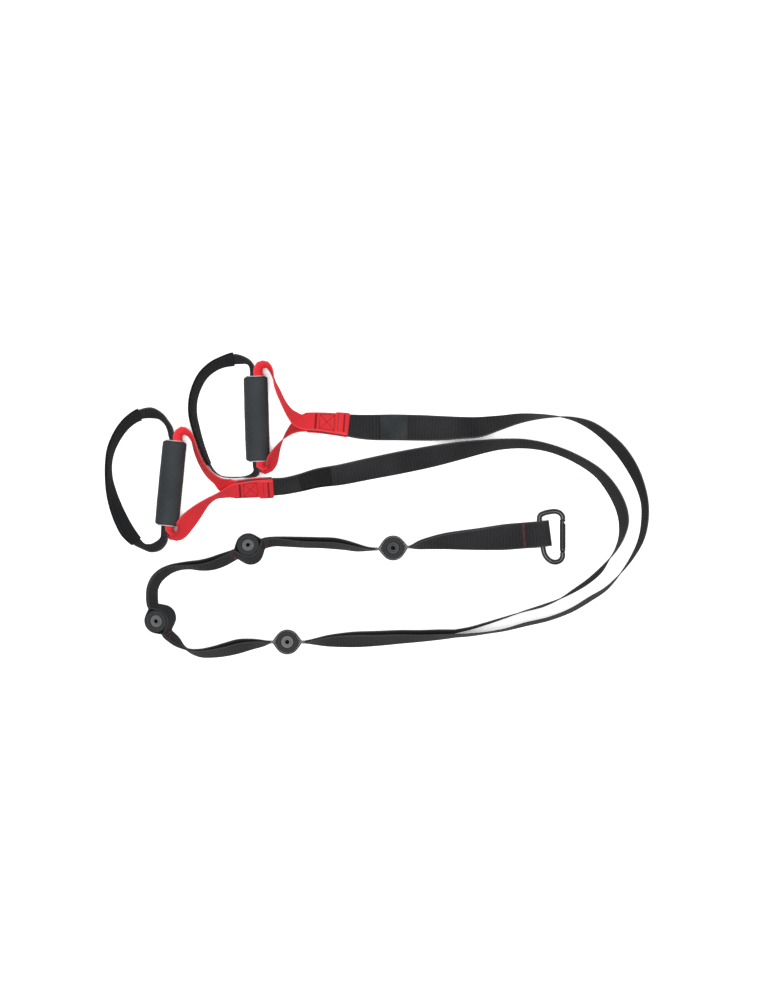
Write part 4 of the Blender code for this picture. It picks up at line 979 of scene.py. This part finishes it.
class Surface:
    """The nodes of a material or of the world, added by type with settings and values."""

    def __init__(self, holder):
        self.holder = holder
        holder.use_nodes = True
        self.tree = holder.node_tree
        self.tree.nodes.clear()

    def node(self, kind, settings=None, output=0, **sockets):
        """Adds a node. A socket is named with _ for a space, or with _ and its number."""
        made = self.tree.nodes.new(kind)
        for key, value in (settings or {}).items():
            setattr(made, key, value)
        for key, value in sockets.items():
            name = int(key[1:]) if key.startswith("_") else key.replace("_", " ")
            self.give(made.inputs[name], value)
        return Socket(self, made.outputs[output])

    def give(self, target, value):
        if isinstance(value, Socket):
            self.tree.links.new(value.socket, target)
        elif target.type == "RGBA":
            target.default_value = (*value, 1.0)
        else:
            target.default_value = value

    def math(self, operation, *values):
        keys = {"_" + str(i): value for i, value in enumerate(values)}
        return self.node("ShaderNodeMath", {"operation": operation}, **keys)

    def mix(self, share, low, high):
        """From one colour to another."""
        return self.node("ShaderNodeMix", {"data_type": "RGBA"}, 2, _0=share, _6=low, _7=high)

    def place(self):
        return self.node("ShaderNodeTexCoord", output="Object")

    def noise(self, scale, detail=2.0, contrast=1.0):
        """Noise of this many waves per metre, between 0 and 1."""
        made = self.node("ShaderNodeTexNoise", Vector=self.place(), Scale=scale, Detail=detail)
        return ((made - 0.5) * contrast + 0.5).held()

    def weave(self):
        """Metres across and along the piece."""
        both = self.node("ShaderNodeUVMap", {"uv_map": "weave"})
        across = self.node("ShaderNodeSeparateXYZ", Vector=both)
        return across, across.beside("Y")

    def bump(self, height, strength, distance):
        return self.node("ShaderNodeBump", Height=height, Strength=strength, Distance=distance)

    def opening(self, distance):
        """How open a place is within this distance: 0 in a narrow gap, 1 in the open."""
        kind = "ShaderNodeAmbientOcclusion"
        return self.node(kind, {"samples": OPENING_SAMPLES}, "AO", Distance=distance)

    def seen(self):
        """1 for what the camera sees, also in a mirror or through glass."""
        rays = self.node("ShaderNodeLightPath", output="Is Camera Ray")
        return (rays + rays.beside("Is Glossy Ray") + rays.beside("Is Transmission Ray")).held()

    def finish(self, output="Material", shader="BsdfPrincipled", **sockets):
        """A shader with these sockets, as the whole surface."""
        made = self.node("ShaderNode" + shader, **sockets)
        out = self.tree.nodes.new("ShaderNodeOutput" + output)
        self.tree.links.new(made.socket, out.inputs["Surface"])
        return self.holder


def fresh(name):
    return Surface(bpy.data.materials.new(name))


def shade(colour, share, lift=0.0):
    """A darker or lighter version of a colour."""
    return tuple(min(1.0, share * value + lift) for value in colour)


def woven(name, colour, deep, pitch, width):
    """Webbing: cross ribs whose yarns lean in rows of small chevrons, a rubbed selvedge."""
    s = fresh(name)
    across, along = s.weave()
    lean = s.math("PINGPONG", across, CHEVRON_WIDTH) * (CHEVRON_LEAN / CHEVRON_WIDTH)
    turns = (along / pitch + lean) * (2 * math.pi)
    rib = turns.sine() * 0.5 + 0.5
    pair = (turns * 0.5).sine() * 0.5 + 0.5
    yarn = (across * (2 * math.pi / YARN_PITCH)).sine() * 0.5 + 0.5
    fuzz = s.noise(900.0, detail=3.0, contrast=1.8)
    drift = s.noise(14.0, detail=3.0, contrast=1.4)
    # The ribs' share of this mix is painted shade in the grooves between them; fuzz and drift
    # are the yarn's own tone.
    light = (rib * 0.4 + pair * 0.16 + fuzz * 0.5 + drift * 0.7 - 0.43).held()
    edge = width / 2 - abs(across)
    selvedge = ((SELVEDGE_WIDTH - edge) / SELVEDGE_FADE).held()
    selvedge = selvedge * (edge / SELVEDGE_EDGE).held()
    rubbed = shade(colour, 1.5, 0.012)
    return s.finish(
        Base_Color=s.mix(selvedge * 0.6, s.mix(light, deep, colour), rubbed),
        Roughness=(0.74 + fuzz * 0.2).held(), Specular_IOR_Level=0.03,
        Normal=s.bump(rib * 0.6 + yarn * 0.3 + fuzz * 0.3, strength=0.5, distance=0.16 * MM),
        Sheen_Weight=0.03, Sheen_Roughness=0.4,
    )


def pad_cloth():
    """The closely knitted cover of the foot pads, with painted shade along its sewn channels.
    """
    s = fresh("pad_cloth")
    across, along = s.weave()
    courses, wales = (
        (way * (2 * math.pi / pitch)).sine()
        for way, pitch in ((along, COURSE_PITCH), (across, WALE_PITCH))
    )
    stitch = courses * wales
    fuzz = s.noise(700.0, detail=3.0, contrast=2.2)
    drift = s.noise(22.0)
    crumple = s.noise(75.0)
    # Painted shade: the colour darkens from the sewn channels out over the pad's rounded edges.
    edge = ((abs(across) - (PAD_WIDTH / 2 - PAD_BORDER)) / PAD_BORDER_FADE).held()
    light = (fuzz * 0.6 + drift * 0.5 + stitch * 0.12 - 0.15 - edge * 0.25).held()
    return s.finish(
        Base_Color=s.mix(light, (0.008, 0.0085, 0.0095), (0.036, 0.037, 0.039)),
        Roughness=(0.7 + fuzz * 0.25).held(), Specular_IOR_Level=0.03,
        Normal=s.bump(
            stitch * 0.35 + fuzz * 0.4 + crumple * 2.2, strength=0.5, distance=0.3 * MM),
        Sheen_Weight=0.02, Sheen_Roughness=0.5,
    )


def foam(colour):
    """Closed-cell foam: fine cells, soft dents and rubbed patches."""
    s = fresh("grip_foam")
    cells = s.node("ShaderNodeTexVoronoi", Vector=s.place(), Scale=1500.0)
    fine = s.noise(900.0, detail=4.0, contrast=3.2)
    dents = s.noise(60.0, detail=3.0)
    worn = s.noise(26.0, detail=3.0, contrast=2.2)
    light = (fine * 0.7 + worn * 0.4 - 0.1).held()
    return s.finish(
        Base_Color=s.mix(light, shade(colour, 0.4), colour),
        Roughness=(0.66 + fine * 0.3).held(),
        Specular_IOR_Level=0.3,
        Normal=s.bump(cells * 0.6 + fine * 0.5 + dents * 1.6, strength=0.6, distance=0.3 * MM),
    )


def moulded(name, colour, deep, gloss, bore=0.0, grain=1100.0, coarse=0.3):
    """Moulded plastic or rubber with a fine grain and handling marks, and with painted
    shade inside bores narrower than bore."""
    s = fresh(name)
    fine = s.noise(grain, detail=3.0, contrast=2.6)
    marks = s.noise(45.0, detail=4.0, contrast=2.6)
    face = s.mix((fine * 0.6 + marks * 0.5).held(), deep, colour)
    if bore:
        # Painted shade: the colour goes nearly black deep inside a narrow bore.
        face = s.mix(((s.opening(bore) - 0.2) / 0.4).held(), (0.003, 0.003, 0.003), face)
    return s.finish(
        Base_Color=face,
        Roughness=(gloss + marks * 0.18).held(), Specular_IOR_Level=0.4,
        Normal=s.bump(fine + marks * 0.4, strength=coarse, distance=0.15 * MM),
    )


def coated_metal(name, colour, worn, gloss, metallic, coat):
    """A glossy coat over metal, with faint orange peel and rubbed places."""
    s = fresh(name)
    peel = s.noise(300.0)
    rubbed = (s.noise(60.0, detail=4.0, contrast=3.0) - 0.6).held()
    return s.finish(
        Base_Color=s.mix(rubbed * 0.5, colour, worn), Metallic=metallic,
        Roughness=(gloss + rubbed * 0.15 + peel * 0.04).held(),
        Normal=s.bump(peel, strength=0.03, distance=0.1 * MM), Specular_IOR_Level=0.12,
        Coat_Weight=coat, Coat_Roughness=0.14,
    )


def thread(name, colour):
    """Twisted sewing thread."""
    s = fresh(name)
    twist = s.noise(1600.0)
    return s.finish(
        Base_Color=s.mix(twist, shade(colour, 0.45), colour),
        Roughness=(0.5 + twist * 0.3).held(), Specular_IOR_Level=0.3,
        Normal=s.bump(twist, strength=0.5, distance=0.15 * MM), Sheen_Weight=0.1,
    )


def floor_paper():
    """The pale floor: matt, lifted to white where the camera sees it in the open, and with
    painted shade, a near-black colour, at the bottom of narrow gaps."""
    s = fresh("floor_paper")
    open_sky = s.opening(SKY_REACH)
    lift = s.seen() * ((open_sky - 0.12) / 0.12).held()
    paper = s.mix(s.noise(55.0), (0.84, 0.84, 0.84), (0.88, 0.88, 0.88))
    # Painted shade: the floor's colour goes near black where little sky reaches it.
    painted_gap_shade = ((0.05 - open_sky) / 0.04).held()
    return s.finish(
        Base_Color=s.mix(painted_gap_shade, paper, (0.02, 0.02, 0.02)), Roughness=0.9,
        Specular_IOR_Level=0.0, Emission_Strength=0.72,
        Emission_Color=s.mix(lift, (0.0, 0.0, 0.0), (1.0, 1.0, 1.0)),
    )


FINISHES = {}


def finish_of(key):
    """A finish, made once, with the colours that the panel holds. After its colours, a
    moulded one has its roughness and the reach of the painted shade in its bores, and the
    sleeve's grain and coarseness. A metal one has its roughness, its metal share and its coat."""
    look = bpy.context.scene.trainer_look
    # The deep colours are the darker end of the webbing's mix: painted groove shade, and the
    # yarn's own tone.
    black = (tuple(look.black_colour), (0.012, 0.012, 0.013), look.rib_pitch)
    red = (tuple(look.red_colour), (0.78, 0.036, 0.046), look.rib_pitch)
    finishes = {
        "black": (woven, "black_webbing", *black, WEBBING_WIDTH),
        "foot": (woven, "foot_webbing", *black, FOOT_STRAP_WIDTH),
        "red": (woven, "red_webbing", *red, WEBBING_WIDTH),
        "pad": (pad_cloth,),
        "foam": (foam, tuple(look.foam_colour)),
        "tube": (moulded, "tube_plastic", (0.6, 0.6, 0.61), (0.45, 0.45, 0.46), 0.4),
        "sleeve": (moulded, "sleeve_rubber", (0.036, 0.038, 0.042), (0.006, 0.007, 0.008),
                   0.75, 0.0, 620.0, 0.8),
        "core": (moulded, "core_plastic", (0.16, 0.17, 0.18), (0.085, 0.09, 0.095), 0.45,
                 BORE_SHADE_REACH),
        # A darker copy of the core finish for roller 4 only: painted shade.
        "dark_core": (moulded, "dark_core_plastic", (0.05, 0.053, 0.057),
                      (0.026, 0.028, 0.03), 0.55, BORE_SHADE_REACH),
        # One label in lit and shaded copies: the right one's colour is lightened and blued by a
        # painted reflection, the left one's darkened by painted shade, as it leans away from
        # the lamp.
        "right_patch": (moulded, "patch_film", (0.026, 0.034, 0.038), (0.017, 0.024, 0.027),
                        0.45),
        "left_patch": (moulded, "dark_patch_film", (0.013, 0.0135, 0.015),
                       (0.008, 0.0085, 0.01), 0.45),
        "metal": (coated_metal, "black_metal", (0.012, 0.012, 0.013), (0.04, 0.04, 0.042),
                  0.3, 0.0, 0.5),
        "gate": (coated_metal, "gate_metal", (0.02, 0.02, 0.021), (0.05, 0.05, 0.052),
                 0.42, 0.0, 0.05),
        "steel": (coated_metal, "spring_steel", (0.55, 0.55, 0.56), (0.4, 0.4, 0.4),
                  0.26, 1.0, 0.0),
        "bright_thread": (thread, "bright_thread", (0.95, 0.13, 0.15)),
        "red_thread": (thread, "red_thread", (0.26, 0.009, 0.014)),
        "dark_thread": (thread, "dark_thread", (0.2, 0.005, 0.012)),
        "black_thread": (thread, "black_thread", (0.03, 0.03, 0.033)),
    }
    if key not in FINISHES:
        maker, *values = finishes[key]
        FINISHES[key] = maker(*values)
    return FINISHES[key]


class TrainerLook(bpy.types.PropertyGroup):
    """The sizes and colours that a user would change."""

    rib_pitch: bpy.props.FloatProperty(
        name="Rib pitch", description="Distance between two cross ribs of the webbing",
        default=2.4 * MM, min=0.5 * MM, max=6 * MM, unit="LENGTH", precision=5,
    )
    thread_radius: bpy.props.FloatProperty(
        name="Thread radius", description="Radius of the sewing thread",
        default=0.38 * MM, min=0.1 * MM, max=1 * MM, unit="LENGTH", precision=5,
    )
    black_colour: bpy.props.FloatVectorProperty(
        name="Black webbing", description="Colour of the leg, anchor and foot straps",
        default=(0.054, 0.055, 0.058), min=0, max=1, subtype="COLOR",
    )
    red_colour: bpy.props.FloatVectorProperty(
        name="Red webbing", description="Colour of the yokes",
        default=(0.98, 0.055, 0.068), min=0, max=1, subtype="COLOR",
    )
    foam_colour: bpy.props.FloatVectorProperty(
        name="Foam", description="Colour of the grips",
        default=(0.055, 0.062, 0.068), min=0, max=1, subtype="COLOR",
    )
    fill: bpy.props.FloatProperty(
        name="Pad fill", description="How full the foot pads are",
        default=0.45, min=0, max=1, subtype="FACTOR",
    )
    sky: bpy.props.FloatProperty(
        name="Sky", description="Strength of the even light from all round",
        default=0.4, min=0, max=3,
    )
    lamp: bpy.props.FloatProperty(
        name="Lamp", description="Strength of the broad lamp overhead",
        default=1.95, min=0, max=10,
    )


def rows_of(guides, width, thickness, closed=False):
    """Rows through the guides, and the number of rows from each guide to the next."""
    steps = []
    count = len(guides) if closed else len(guides) - 1
    for i in range(count):
        start, end = guides[i], guides[(i + 1) % len(guides)]
        length = (end.point - start.point).length
        turn = start.across.angle(end.across)
        steps.append(max(1, round(length / ROW_STEP), round(turn / TURN_STEP)))
    return smooth_rows(guides, width, thickness, steps, closed), steps


def main_strap(guides):
    """An open strap of the main webbing through these guides."""
    rows, _steps = rows_of(guides, *MAIN_STRAP)
    return Strap(rows, WEBBING_WIDTH)


def anchor_layers():
    """The two layers' straps, and the guide at each one's start."""
    layers = {1: [], -1: []}
    for side, guides in layers.items():
        for i, route in enumerate(ANCHOR_ROUTES):
            guides += layer_guides(route, side)
            if i < len(ROLLERS):
                guides += pocket_rows(*roller_frame(ROLLERS[i]), side)
    starts = {side: guides[0] for side, guides in layers.items()}
    _bar, _ahead, across = loop_frame()
    above = up(WEBBING_THICKNESS / 2 + LAYER_GAP)
    layers[-1].append(Guide(spot(*BAR_TACK) + above, across))
    layers[1] += loop_guides()
    return {side: main_strap(guides) for side, guides in layers.items()}, starts


def leg_strap(joint_route, route, meets):
    """A leg strap from under its yoke's seam, sewn to the guide of the layer that it meets."""
    seam = closer_stations(joint_route)[1:]
    guides = floor_guides(seam, WEBBING_WIDTH, SEAM_STACK) + floor_guides(route, *MAIN_STRAP)
    travel = (meets.point - guides[-1].point).normalized()
    guides.append(Guide(meets.point + LAP * travel, meets.across))
    return main_strap(guides)


def seam_place(route, face, lift):
    """Places on the camera's side of a yoke's seam, by x in metres along it."""
    xs = [station[0] for station in route]
    travel = (spot(*route[-1][:2]) - spot(*route[0][:2])).normalized()

    def place(run, u):
        x = xs[0] + run / PIXEL
        y, roll = (float(np.interp(x, xs, [s[i] for s in route])) for i in (1, 2))
        across = across_of(travel, roll)
        normal = face * across.cross(travel)
        rest = resting_height(WEBBING_WIDTH, SEAM_STACK, across, travel)
        point = spot(x, y) + up(rest) + u * across + lift * normal
        return point, normal

    return place


class TRAINER_OT_stage(bpy.types.Operator):
    """Camera, floor and plain light"""

    bl_idname = "trainer.stage"
    bl_label = "Stage"

    def execute(self, context):
        scene = context.scene
        scene.view_settings.view_transform = "Standard"
        look = scene.trainer_look
        camera = bpy.data.cameras.new("camera")
        camera.type = "ORTHO"
        camera.ortho_scale = PHOTO_SIZE[1] * PIXEL
        camera.clip_end = CAMERA_SIGHT
        eye = bpy.data.objects.new("camera", camera)
        middle = spot(PHOTO_SIZE[0] / 2, PHOTO_SIZE[1] / 2)
        eye.location = middle + up(CAMERA_HEIGHT)
        scene.collection.objects.link(eye)
        scene.camera = eye
        mesh = bpy.data.meshes.new("floor")
        ways = ((-1, -1), (1, -1), (1, 1), (-1, 1))
        corners = [(x * FLOOR_REACH, y * FLOOR_REACH, 0) for x, y in ways]
        mesh.from_pydata(corners, [], [range(len(corners))])
        floor = new_object("floor", mesh, floor_paper())
        floor.location.z = -FLOOR_DROP
        sky = Surface(bpy.data.worlds.new("even_light"))
        strength = sky.seen() * (1.0 - look.sky) + look.sky
        scene.world = sky.finish("World", "Background", Color=(1, 1, 1), Strength=strength)
        lamp = bpy.data.lights.new("overhead", "SUN")
        lamp.energy = look.lamp
        lamp.angle = math.radians(LAMP_SPREAD)
        holder = bpy.data.objects.new("overhead", lamp)
        holder.rotation_euler = (*(math.radians(turn) for turn in LAMP_TURNS), 0)
        scene.collection.objects.link(holder)
        return {"FINISHED"}


class TRAINER_OT_leg_straps(bpy.types.Operator):
    """The two leg straps, from the yokes to the anchor strap"""

    bl_idname = "trainer.leg_straps"
    bl_label = "Leg straps"

    def execute(self, context):
        _straps, starts = anchor_layers()
        profile = flat_profile(*MAIN_STRAP)
        for side, facts in SIDES.items():
            strap = leg_strap(facts.joint, facts.leg, starts[facts.layer])
            piece = strap_piece(side + "_leg_webbing", strap, profile, "black",
                                "webbing", "black_webbing", side + "_leg_strap")
            extras = self.laps(context, side, strap)
            strap.path()[0]
            strap.path()
        return {"FINISHED"}

    def laps(self, context, side, strap):
        """The rows that sew a lap, and a bare glossy patch beside it."""
        facts = SIDES[side]
        lift = WEBBING_THICKNESS / 2
        sew = Stitching(context.scene.trainer_look.thread_radius)
        run = strap.run[strap.near(spot(*facts.lap).xy)]
        for shift in (-LAP_SHIFT, LAP_SHIFT):
            sew.line(strap.on_face(facts.face, lift), run + shift, LAP_REACH)
        rows = sew.finished(side + "_leg_stitches", finish_of("black_thread"))
        first, last = (strap.near(spot(*pixel).xy) for pixel in facts.patch)
        work = bmesh.new()
        grid = []
        for index in range(first, last + 1):
            places = [
                strap.facing(index, (k / PATCH_STRIPS - 0.5) * (WEBBING_WIDTH - PATCH_MARGIN),
                             facts.face * (lift + PATCH_LIFT))[0]
                for k in range(PATCH_STRIPS + 1)
            ]
            grid.append([work.verts.new(place) for place in places])
        for here, there in zip(grid, grid[1:]):
            for k in range(PATCH_STRIPS):
                work.faces.new((here[k], here[k + 1], there[k + 1], there[k]))
        bmesh.ops.solidify(work, geom=list(work.faces), thickness=PATCH_THICKNESS)
        in_one_order(work)
        patch = built(side + "_bare_patch", work, finish_of(side + "_patch"))
        return [put(piece, "webbing", "black_webbing") for piece in (rows, patch)]


class TRAINER_OT_yokes(bpy.types.Operator):
    """The red yokes that pass through the grips, with their seams"""

    bl_idname = "trainer.yokes"
    bl_label = "Yokes"

    def execute(self, context):
        profile = flat_profile(*MAIN_STRAP, YOKE_STRIPS)
        tuck = (WEBBING_WIDTH, YOKE_TUCK_RADIUS)
        for side, facts in SIDES.items():
            handle = Handle(facts.grip)
            seam = closer_stations(facts.joint)
            travel = (spot(*seam[-1][:2]) - spot(*seam[-2][:2])).normalized()
            upper = floor_guides(seam, WEBBING_WIDTH, SEAM_STACK, SEAM_LAYER_GAP)
            lower = floor_guides(seam, WEBBING_WIDTH, SEAM_STACK, -SEAM_LAYER_GAP)
            folded = upper if facts.face > 0 else lower
            folded += end_fold(folded, travel, facts.face)
            guides = upper[::-1] + handle.guides(facts.yoke_top, *tuck, *MAIN_STRAP)
            guides += handle.tube_guides(*tuck, -handle.axis)
            guides += handle.guides(facts.yoke_bottom, *tuck, *MAIN_STRAP) + lower
            strap = main_strap(guides)
            strap_piece(side + "_yoke_webbing", strap, profile, "red", "webbing",
                        "red_webbing", side + "_yoke")
            self.sew(side, facts, context.scene.trainer_look.thread_radius)
        return {"FINISHED"}

    def sew(self, side, facts, radius):
        """Bar tacks, a box with a cross, and the folded end's own stitches."""
        sew = Stitching(radius)
        first = facts.joint[0][0]
        bar, low, high, line, tack = ((x - first) * PIXEL for x in facts.marks)
        flat, fold = (
            seam_place(facts.joint, facts.face, layers * SEAM_LAYER_GAP + WEBBING_THICKNESS / 2)
            for layers in (1, 2)
        )
        sew.bar(flat, bar, SEAM_REACH)
        sew.box(flat, low, high, SEAM_BOX_REACH)
        sew.line(fold, line, SEAM_REACH)
        sew.bar(fold, tack, SEAM_REACH)
        piece = sew.finished(side + "_yoke_stitches", finish_of("dark_thread"))
        put(piece, "webbing", "red_webbing")


class TRAINER_OT_foot_loops(bpy.types.Operator):
    """The foot straps and the padded sleeves on them"""

    bl_idname = "trainer.foot_loops"
    bl_label = "Foot loops"

    def execute(self, context):
        look = context.scene.trainer_look
        tuck = (FOOT_STRAP_WIDTH, FOOT_TUCK_RADIUS)
        for side, facts in SIDES.items():
            handle = Handle(facts.grip)
            inside = handle.tube_guides(*tuck, handle.axis)
            guides = inside + handle.guides(facts.foot, *tuck, *PAD)
            rows, steps = rows_of(guides, *FOOT_STRAP, closed=True)
            strap = Strap(rows, FOOT_STRAP_WIDTH, closed=True)
            piece = webbing(
                side + "_foot_webbing", strap, flat_profile(*FOOT_STRAP), finish_of("foot")
            )
            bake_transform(piece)
            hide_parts(side + "_foot_strap")
            first, last = (sum(steps[: len(inside) + station]) for station in facts.pad)
            sleeve = Strap(rows[first : last + 1], PAD_WIDTH)
            pad = strap_piece(side + "_foot_cushion", sleeve, padded_profile(*PAD), "pad",
                              side + "_foot_loop", "pad_fabric", side + "_foot_pad")
            self.sew(side, sleeve, look.thread_radius)
        return {"FINISHED"}

    def sew(self, side, sleeve, radius):
        """Rows of stitches in each channel of the pad."""
        sew = Stitching(radius)
        end = sleeve.length
        count = max(1, round(end / CHANNEL_SECTION))
        channel = CHANNEL_PLACE * PAD_WIDTH / 2
        for face in (1, -1):
            place = sleeve.on_face(face, PAD_THICKNESS / 2 * CHANNEL_FLOOR)
            for u in (-channel, channel):
                for k in range(count):
                    low = end * k / count + CHANNEL_BREAK[0]
                    high = end * (k + 1) / count - CHANNEL_BREAK[1]
                    sew.row(place, (low, u), (high, u), CHANNEL_PITCH)
        piece = sew.finished(side + "_pad_stitches", finish_of("black_thread"))
        put(piece, side + "_foot_loop", "pad_fabric")


class TRAINER_OT_anchor_strap(bpy.types.Operator):
    """The anchor strap's two layers, sewn between the rollers and round the carabiner"""

    bl_idname = "trainer.anchor_strap"
    bl_label = "Anchor strap"

    def execute(self, context):
        straps, _starts = anchor_layers()
        profile = flat_profile(*MAIN_STRAP)
        for side, name in ((1, "anchor_outer"), (-1, "anchor_inner")):
            strap_piece(name + "_webbing", straps[side], profile, "black", "webbing",
                        "black_webbing", name + "_layer")
        radius = context.scene.trainer_look.thread_radius
        self.sew_pinches(straps, radius)
        self.sew_loop(straps[1], radius)
        return {"FINISHED"}

    def sew_pinches(self, straps, radius):
        """Two rows where the layers meet before and after each roller."""
        sew = Stitching(radius)
        reach = PINCH_SHARE * POCKET_RADIUS + PINCH_LEAD
        for roller, ways in zip(ROLLERS, ROLLER_SEWN_WAYS):
            centre, axis, travel = roller_frame(roller)
            for way in ways:
                mark = centre + way * reach * square(travel, axis)
                for side, strap in straps.items():
                    run = strap.run[strap.near(mark)]
                    for shift in PINCH_SHIFTS:
                        sew.line(strap.on_face(side, WEBBING_THICKNESS / 2), run + way * shift,
                                 SEAM_REACH, PINCH_PITCH)
        piece = sew.finished("pinch_stitches", finish_of("red_thread"))
        put(piece, "webbing", "black_webbing")

    def sew_loop(self, strap, radius):
        """The bar tack that closes the loop round the carabiner."""
        above = up(1)

        def place(run, u):
            return strap.at(run, u, 0.0)[0] + WEBBING_THICKNESS / 2 * above, above

        sew = Stitching(radius)
        sew.bar(place, strap.length - LOOP_TACK_INSET, LOOP_TACK_REACH, **LOOP_TACK)
        piece = sew.finished("loop_tack", finish_of("bright_thread"))
        put(piece, "webbing", "black_webbing")


class TRAINER_OT_grips(bpy.types.Operator):
    """The foam grips and the rims of their tubes"""

    bl_idname = "trainer.grips"
    bl_label = "Grips"

    def execute(self, context):
        half = FOAM_LENGTH / 2
        straight = half - FOAM_EDGE
        face = FOAM_RADIUS - FOAM_EDGE
        bore = TUBE_OUTER_RADIUS + BORE_GAP
        outer = []
        for k in range(FOAM_RINGS + 1):
            share = 1 - 2 * k / FOAM_RINGS
            swell = FOAM_CROWN * (1 - share * share)
            wave = sum(height * math.sin(turns * share) for height, turns in FOAM_WAVES)
            outer.append((FOAM_RADIUS + swell + wave, share * straight))
        top = [(bore, half - FOAM_CHAMFER), (bore + FOAM_CHAMFER, half), (face, half)]
        top += [(face + x * MM, straight + z * MM) for x, z in FOAM_SHOULDER]
        profile = top + outer + mirrored(top)
        for side, facts in SIDES.items():
            handle = Handle(facts.grip)
            place = matrix_of(up(-1), handle.axis, handle.centre)
            piece = revolved(side + "_foam", profile, finish_of("foam"), place, FOAM_SEGMENTS)
            put(piece, side + "_grip", "grip_foam", side + "_foam_grip")
            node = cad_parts[side + "_grip_tube"]
            node.material_slots[0].material = finish_of("tube")
        return {"FINISHED"}


class TRAINER_OT_rollers(bpy.types.Operator):
    """The door rollers: rubber sleeves on grey cores"""

    bl_idname = "trainer.rollers"
    bl_label = "Rollers"

    def execute(self, context):
        half = ROLLER_LENGTH / 2
        inner = CORE_RADIUS + BORE_GAP
        side = [(inner, half - ROLLER_CHAMFER), (inner + ROLLER_CHAMFER, half)]
        side += [(ROLLER_RADIUS - (1 - math.cos(a)) * ROLLER_EDGE,
                  half - ROLLER_EDGE + math.sin(a) * ROLLER_EDGE) for a in ROLLER_EDGE_ANGLES]
        grooves = [(ROLLER_RADIUS - depth * MM, (z + dz) * MM)
                   for z in GROOVE_HEIGHTS for dz, depth in GROOVE]
        top = half - CORE_INSET
        collar = [(x * MM, top + z * MM - COLLAR_DROP) for x, z in COLLAR]
        for number, roller in enumerate(ROLLERS, start=1):
            name = "roller_" + str(number)
            centre, axis, travel = roller_frame(roller)
            down = up(-1) + axis * axis.z
            x_axis = down.normalized() if down.length > MM else travel
            place = matrix_of(x_axis, axis, centre)
            sleeve = side + grooves + mirrored(side)
            piece = revolved(name + "_rubber", sleeve, finish_of("sleeve"), place)
            put(piece, name, "sleeve_rubber", name + "_sleeve")
            # Roller 4's core takes the darker copy of the core finish: painted shade.
            key = "dark_core" if number == len(ROLLERS) else "core"
            core = collar + mirrored(collar)
            piece = revolved(name + "_hub", core, finish_of(key), place)
            put(piece, name, "core_plastic", name + "_core")
        return {"FINISHED"}


class TRAINER_OT_carabiner(bpy.types.Operator):
    """The snap carabiner: a smooth rod, its nose and heel, and the gate's finish"""

    bl_idname = "trainer.carabiner"
    bl_label = "Carabiner"

    def execute(self, context):
        for name, key in (("carabiner_gate", "gate"), ("gate_rivet", "metal"),
                          ("latch_pin", "metal"), ("spring_plunger", "metal"),
                          ("gate_spring", "steel")):
            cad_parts[name].material_slots[0].material = finish_of(key)
        nose = Vector((GATE_X, NOSE_END, 0.0))
        heel = Vector((GATE_X, HEEL_END, 0.0))
        work = bmesh.new()
        line = smooth_points([nose, *rod_points(), heel], ROD_STEP)
        tube_rings(work, line, ROD_RADIUS, ROD_SIDES)
        for face in work.faces:
            face.smooth = len(face.verts) == 4
        rod = self.fitted("carabiner_rod", work, "metal")
        put(rod, "carabiner", "black_metal", "carabiner_body")
        put(self.fitted("carabiner_tangs", self.tangs(), "gate"), "carabiner", "black_metal")
        return {"FINISHED"}

    def tangs(self):
        """The flat tongues of the nose and the heel, in the slots of the gate."""
        half = TANG_THICKNESS / 2
        low = NOSE_END - NOSE_TANG_LENGTH
        wide = NOSE_TANG_WIDTH / 2
        nose = [(-wide, NOSE_END + half), (-wide, low + half), (half - wide, low),
                (wide - half, low), (wide, low + half), (wide, NOSE_END + half)]
        heel = [(-TANG_RADIUS, HEEL_END - half)]
        heel += [
            (TANG_RADIUS * math.cos(a), GATE_PIVOT_Y + TANG_RADIUS * math.sin(a))
            for a in (math.pi * (1 - k / TANG_STEPS) for k in range(TANG_STEPS + 1))
        ]
        heel += [(TANG_RADIUS, HEEL_END - half)]
        work = bmesh.new()
        for outline in (nose, heel):
            upper = [work.verts.new((GATE_X + x, y, half)) for x, y in outline]
            lower = [work.verts.new((GATE_X + x, y, -half)) for x, y in outline]
            work.faces.new(upper)
            work.faces.new(lower[::-1])
            for k, first in enumerate(upper):
                n = (k + 1) % len(upper)
                work.faces.new((first, lower[k], lower[n], upper[n]))
        return work

    def fitted(self, name, work, key):
        """A piece made in the carabiner's own frame, set in its place."""
        bmesh.ops.recalc_face_normals(work, faces=work.faces)
        return built(name, work, finish_of(key), matrix=carabiner_matrix())


OPERATORS = (
    TRAINER_OT_stage, TRAINER_OT_leg_straps, TRAINER_OT_yokes, TRAINER_OT_foot_loops,
    TRAINER_OT_anchor_strap, TRAINER_OT_grips, TRAINER_OT_rollers, TRAINER_OT_carabiner,
)


class TRAINER_PT_panel(bpy.types.Panel):
    """The trainer's values and operators"""

    bl_label = "Suspension trainer"
    bl_space_type = "VIEW_3D"
    bl_region_type = "UI"
    bl_category = "Trainer"

    def draw(self, context):
        look = context.scene.trainer_look
        for key in TrainerLook.__annotations__:
            self.layout.prop(look, key)
        for operator in OPERATORS:
            self.layout.operator(operator.bl_idname)


CLASSES = (TrainerLook, *OPERATORS, TRAINER_PT_panel)


def register():
    for item in CLASSES:
        bpy.utils.register_class(item)
    bpy.types.Scene.trainer_look = bpy.props.PointerProperty(type=TrainerLook)


def unregister():
    del bpy.types.Scene.trainer_look
    for item in reversed(CLASSES):
        bpy.utils.unregister_class(item)


def main():
    register()
    bpy.ops.trainer.stage()
    bpy.ops.trainer.leg_straps()
    bpy.ops.trainer.yokes()
    bpy.ops.trainer.foot_loops()
    bpy.ops.trainer.anchor_strap()
    bpy.ops.trainer.grips()
    bpy.ops.trainer.rollers()
    bpy.ops.trainer.carabiner()


if __name__ == "__main__":
    main()
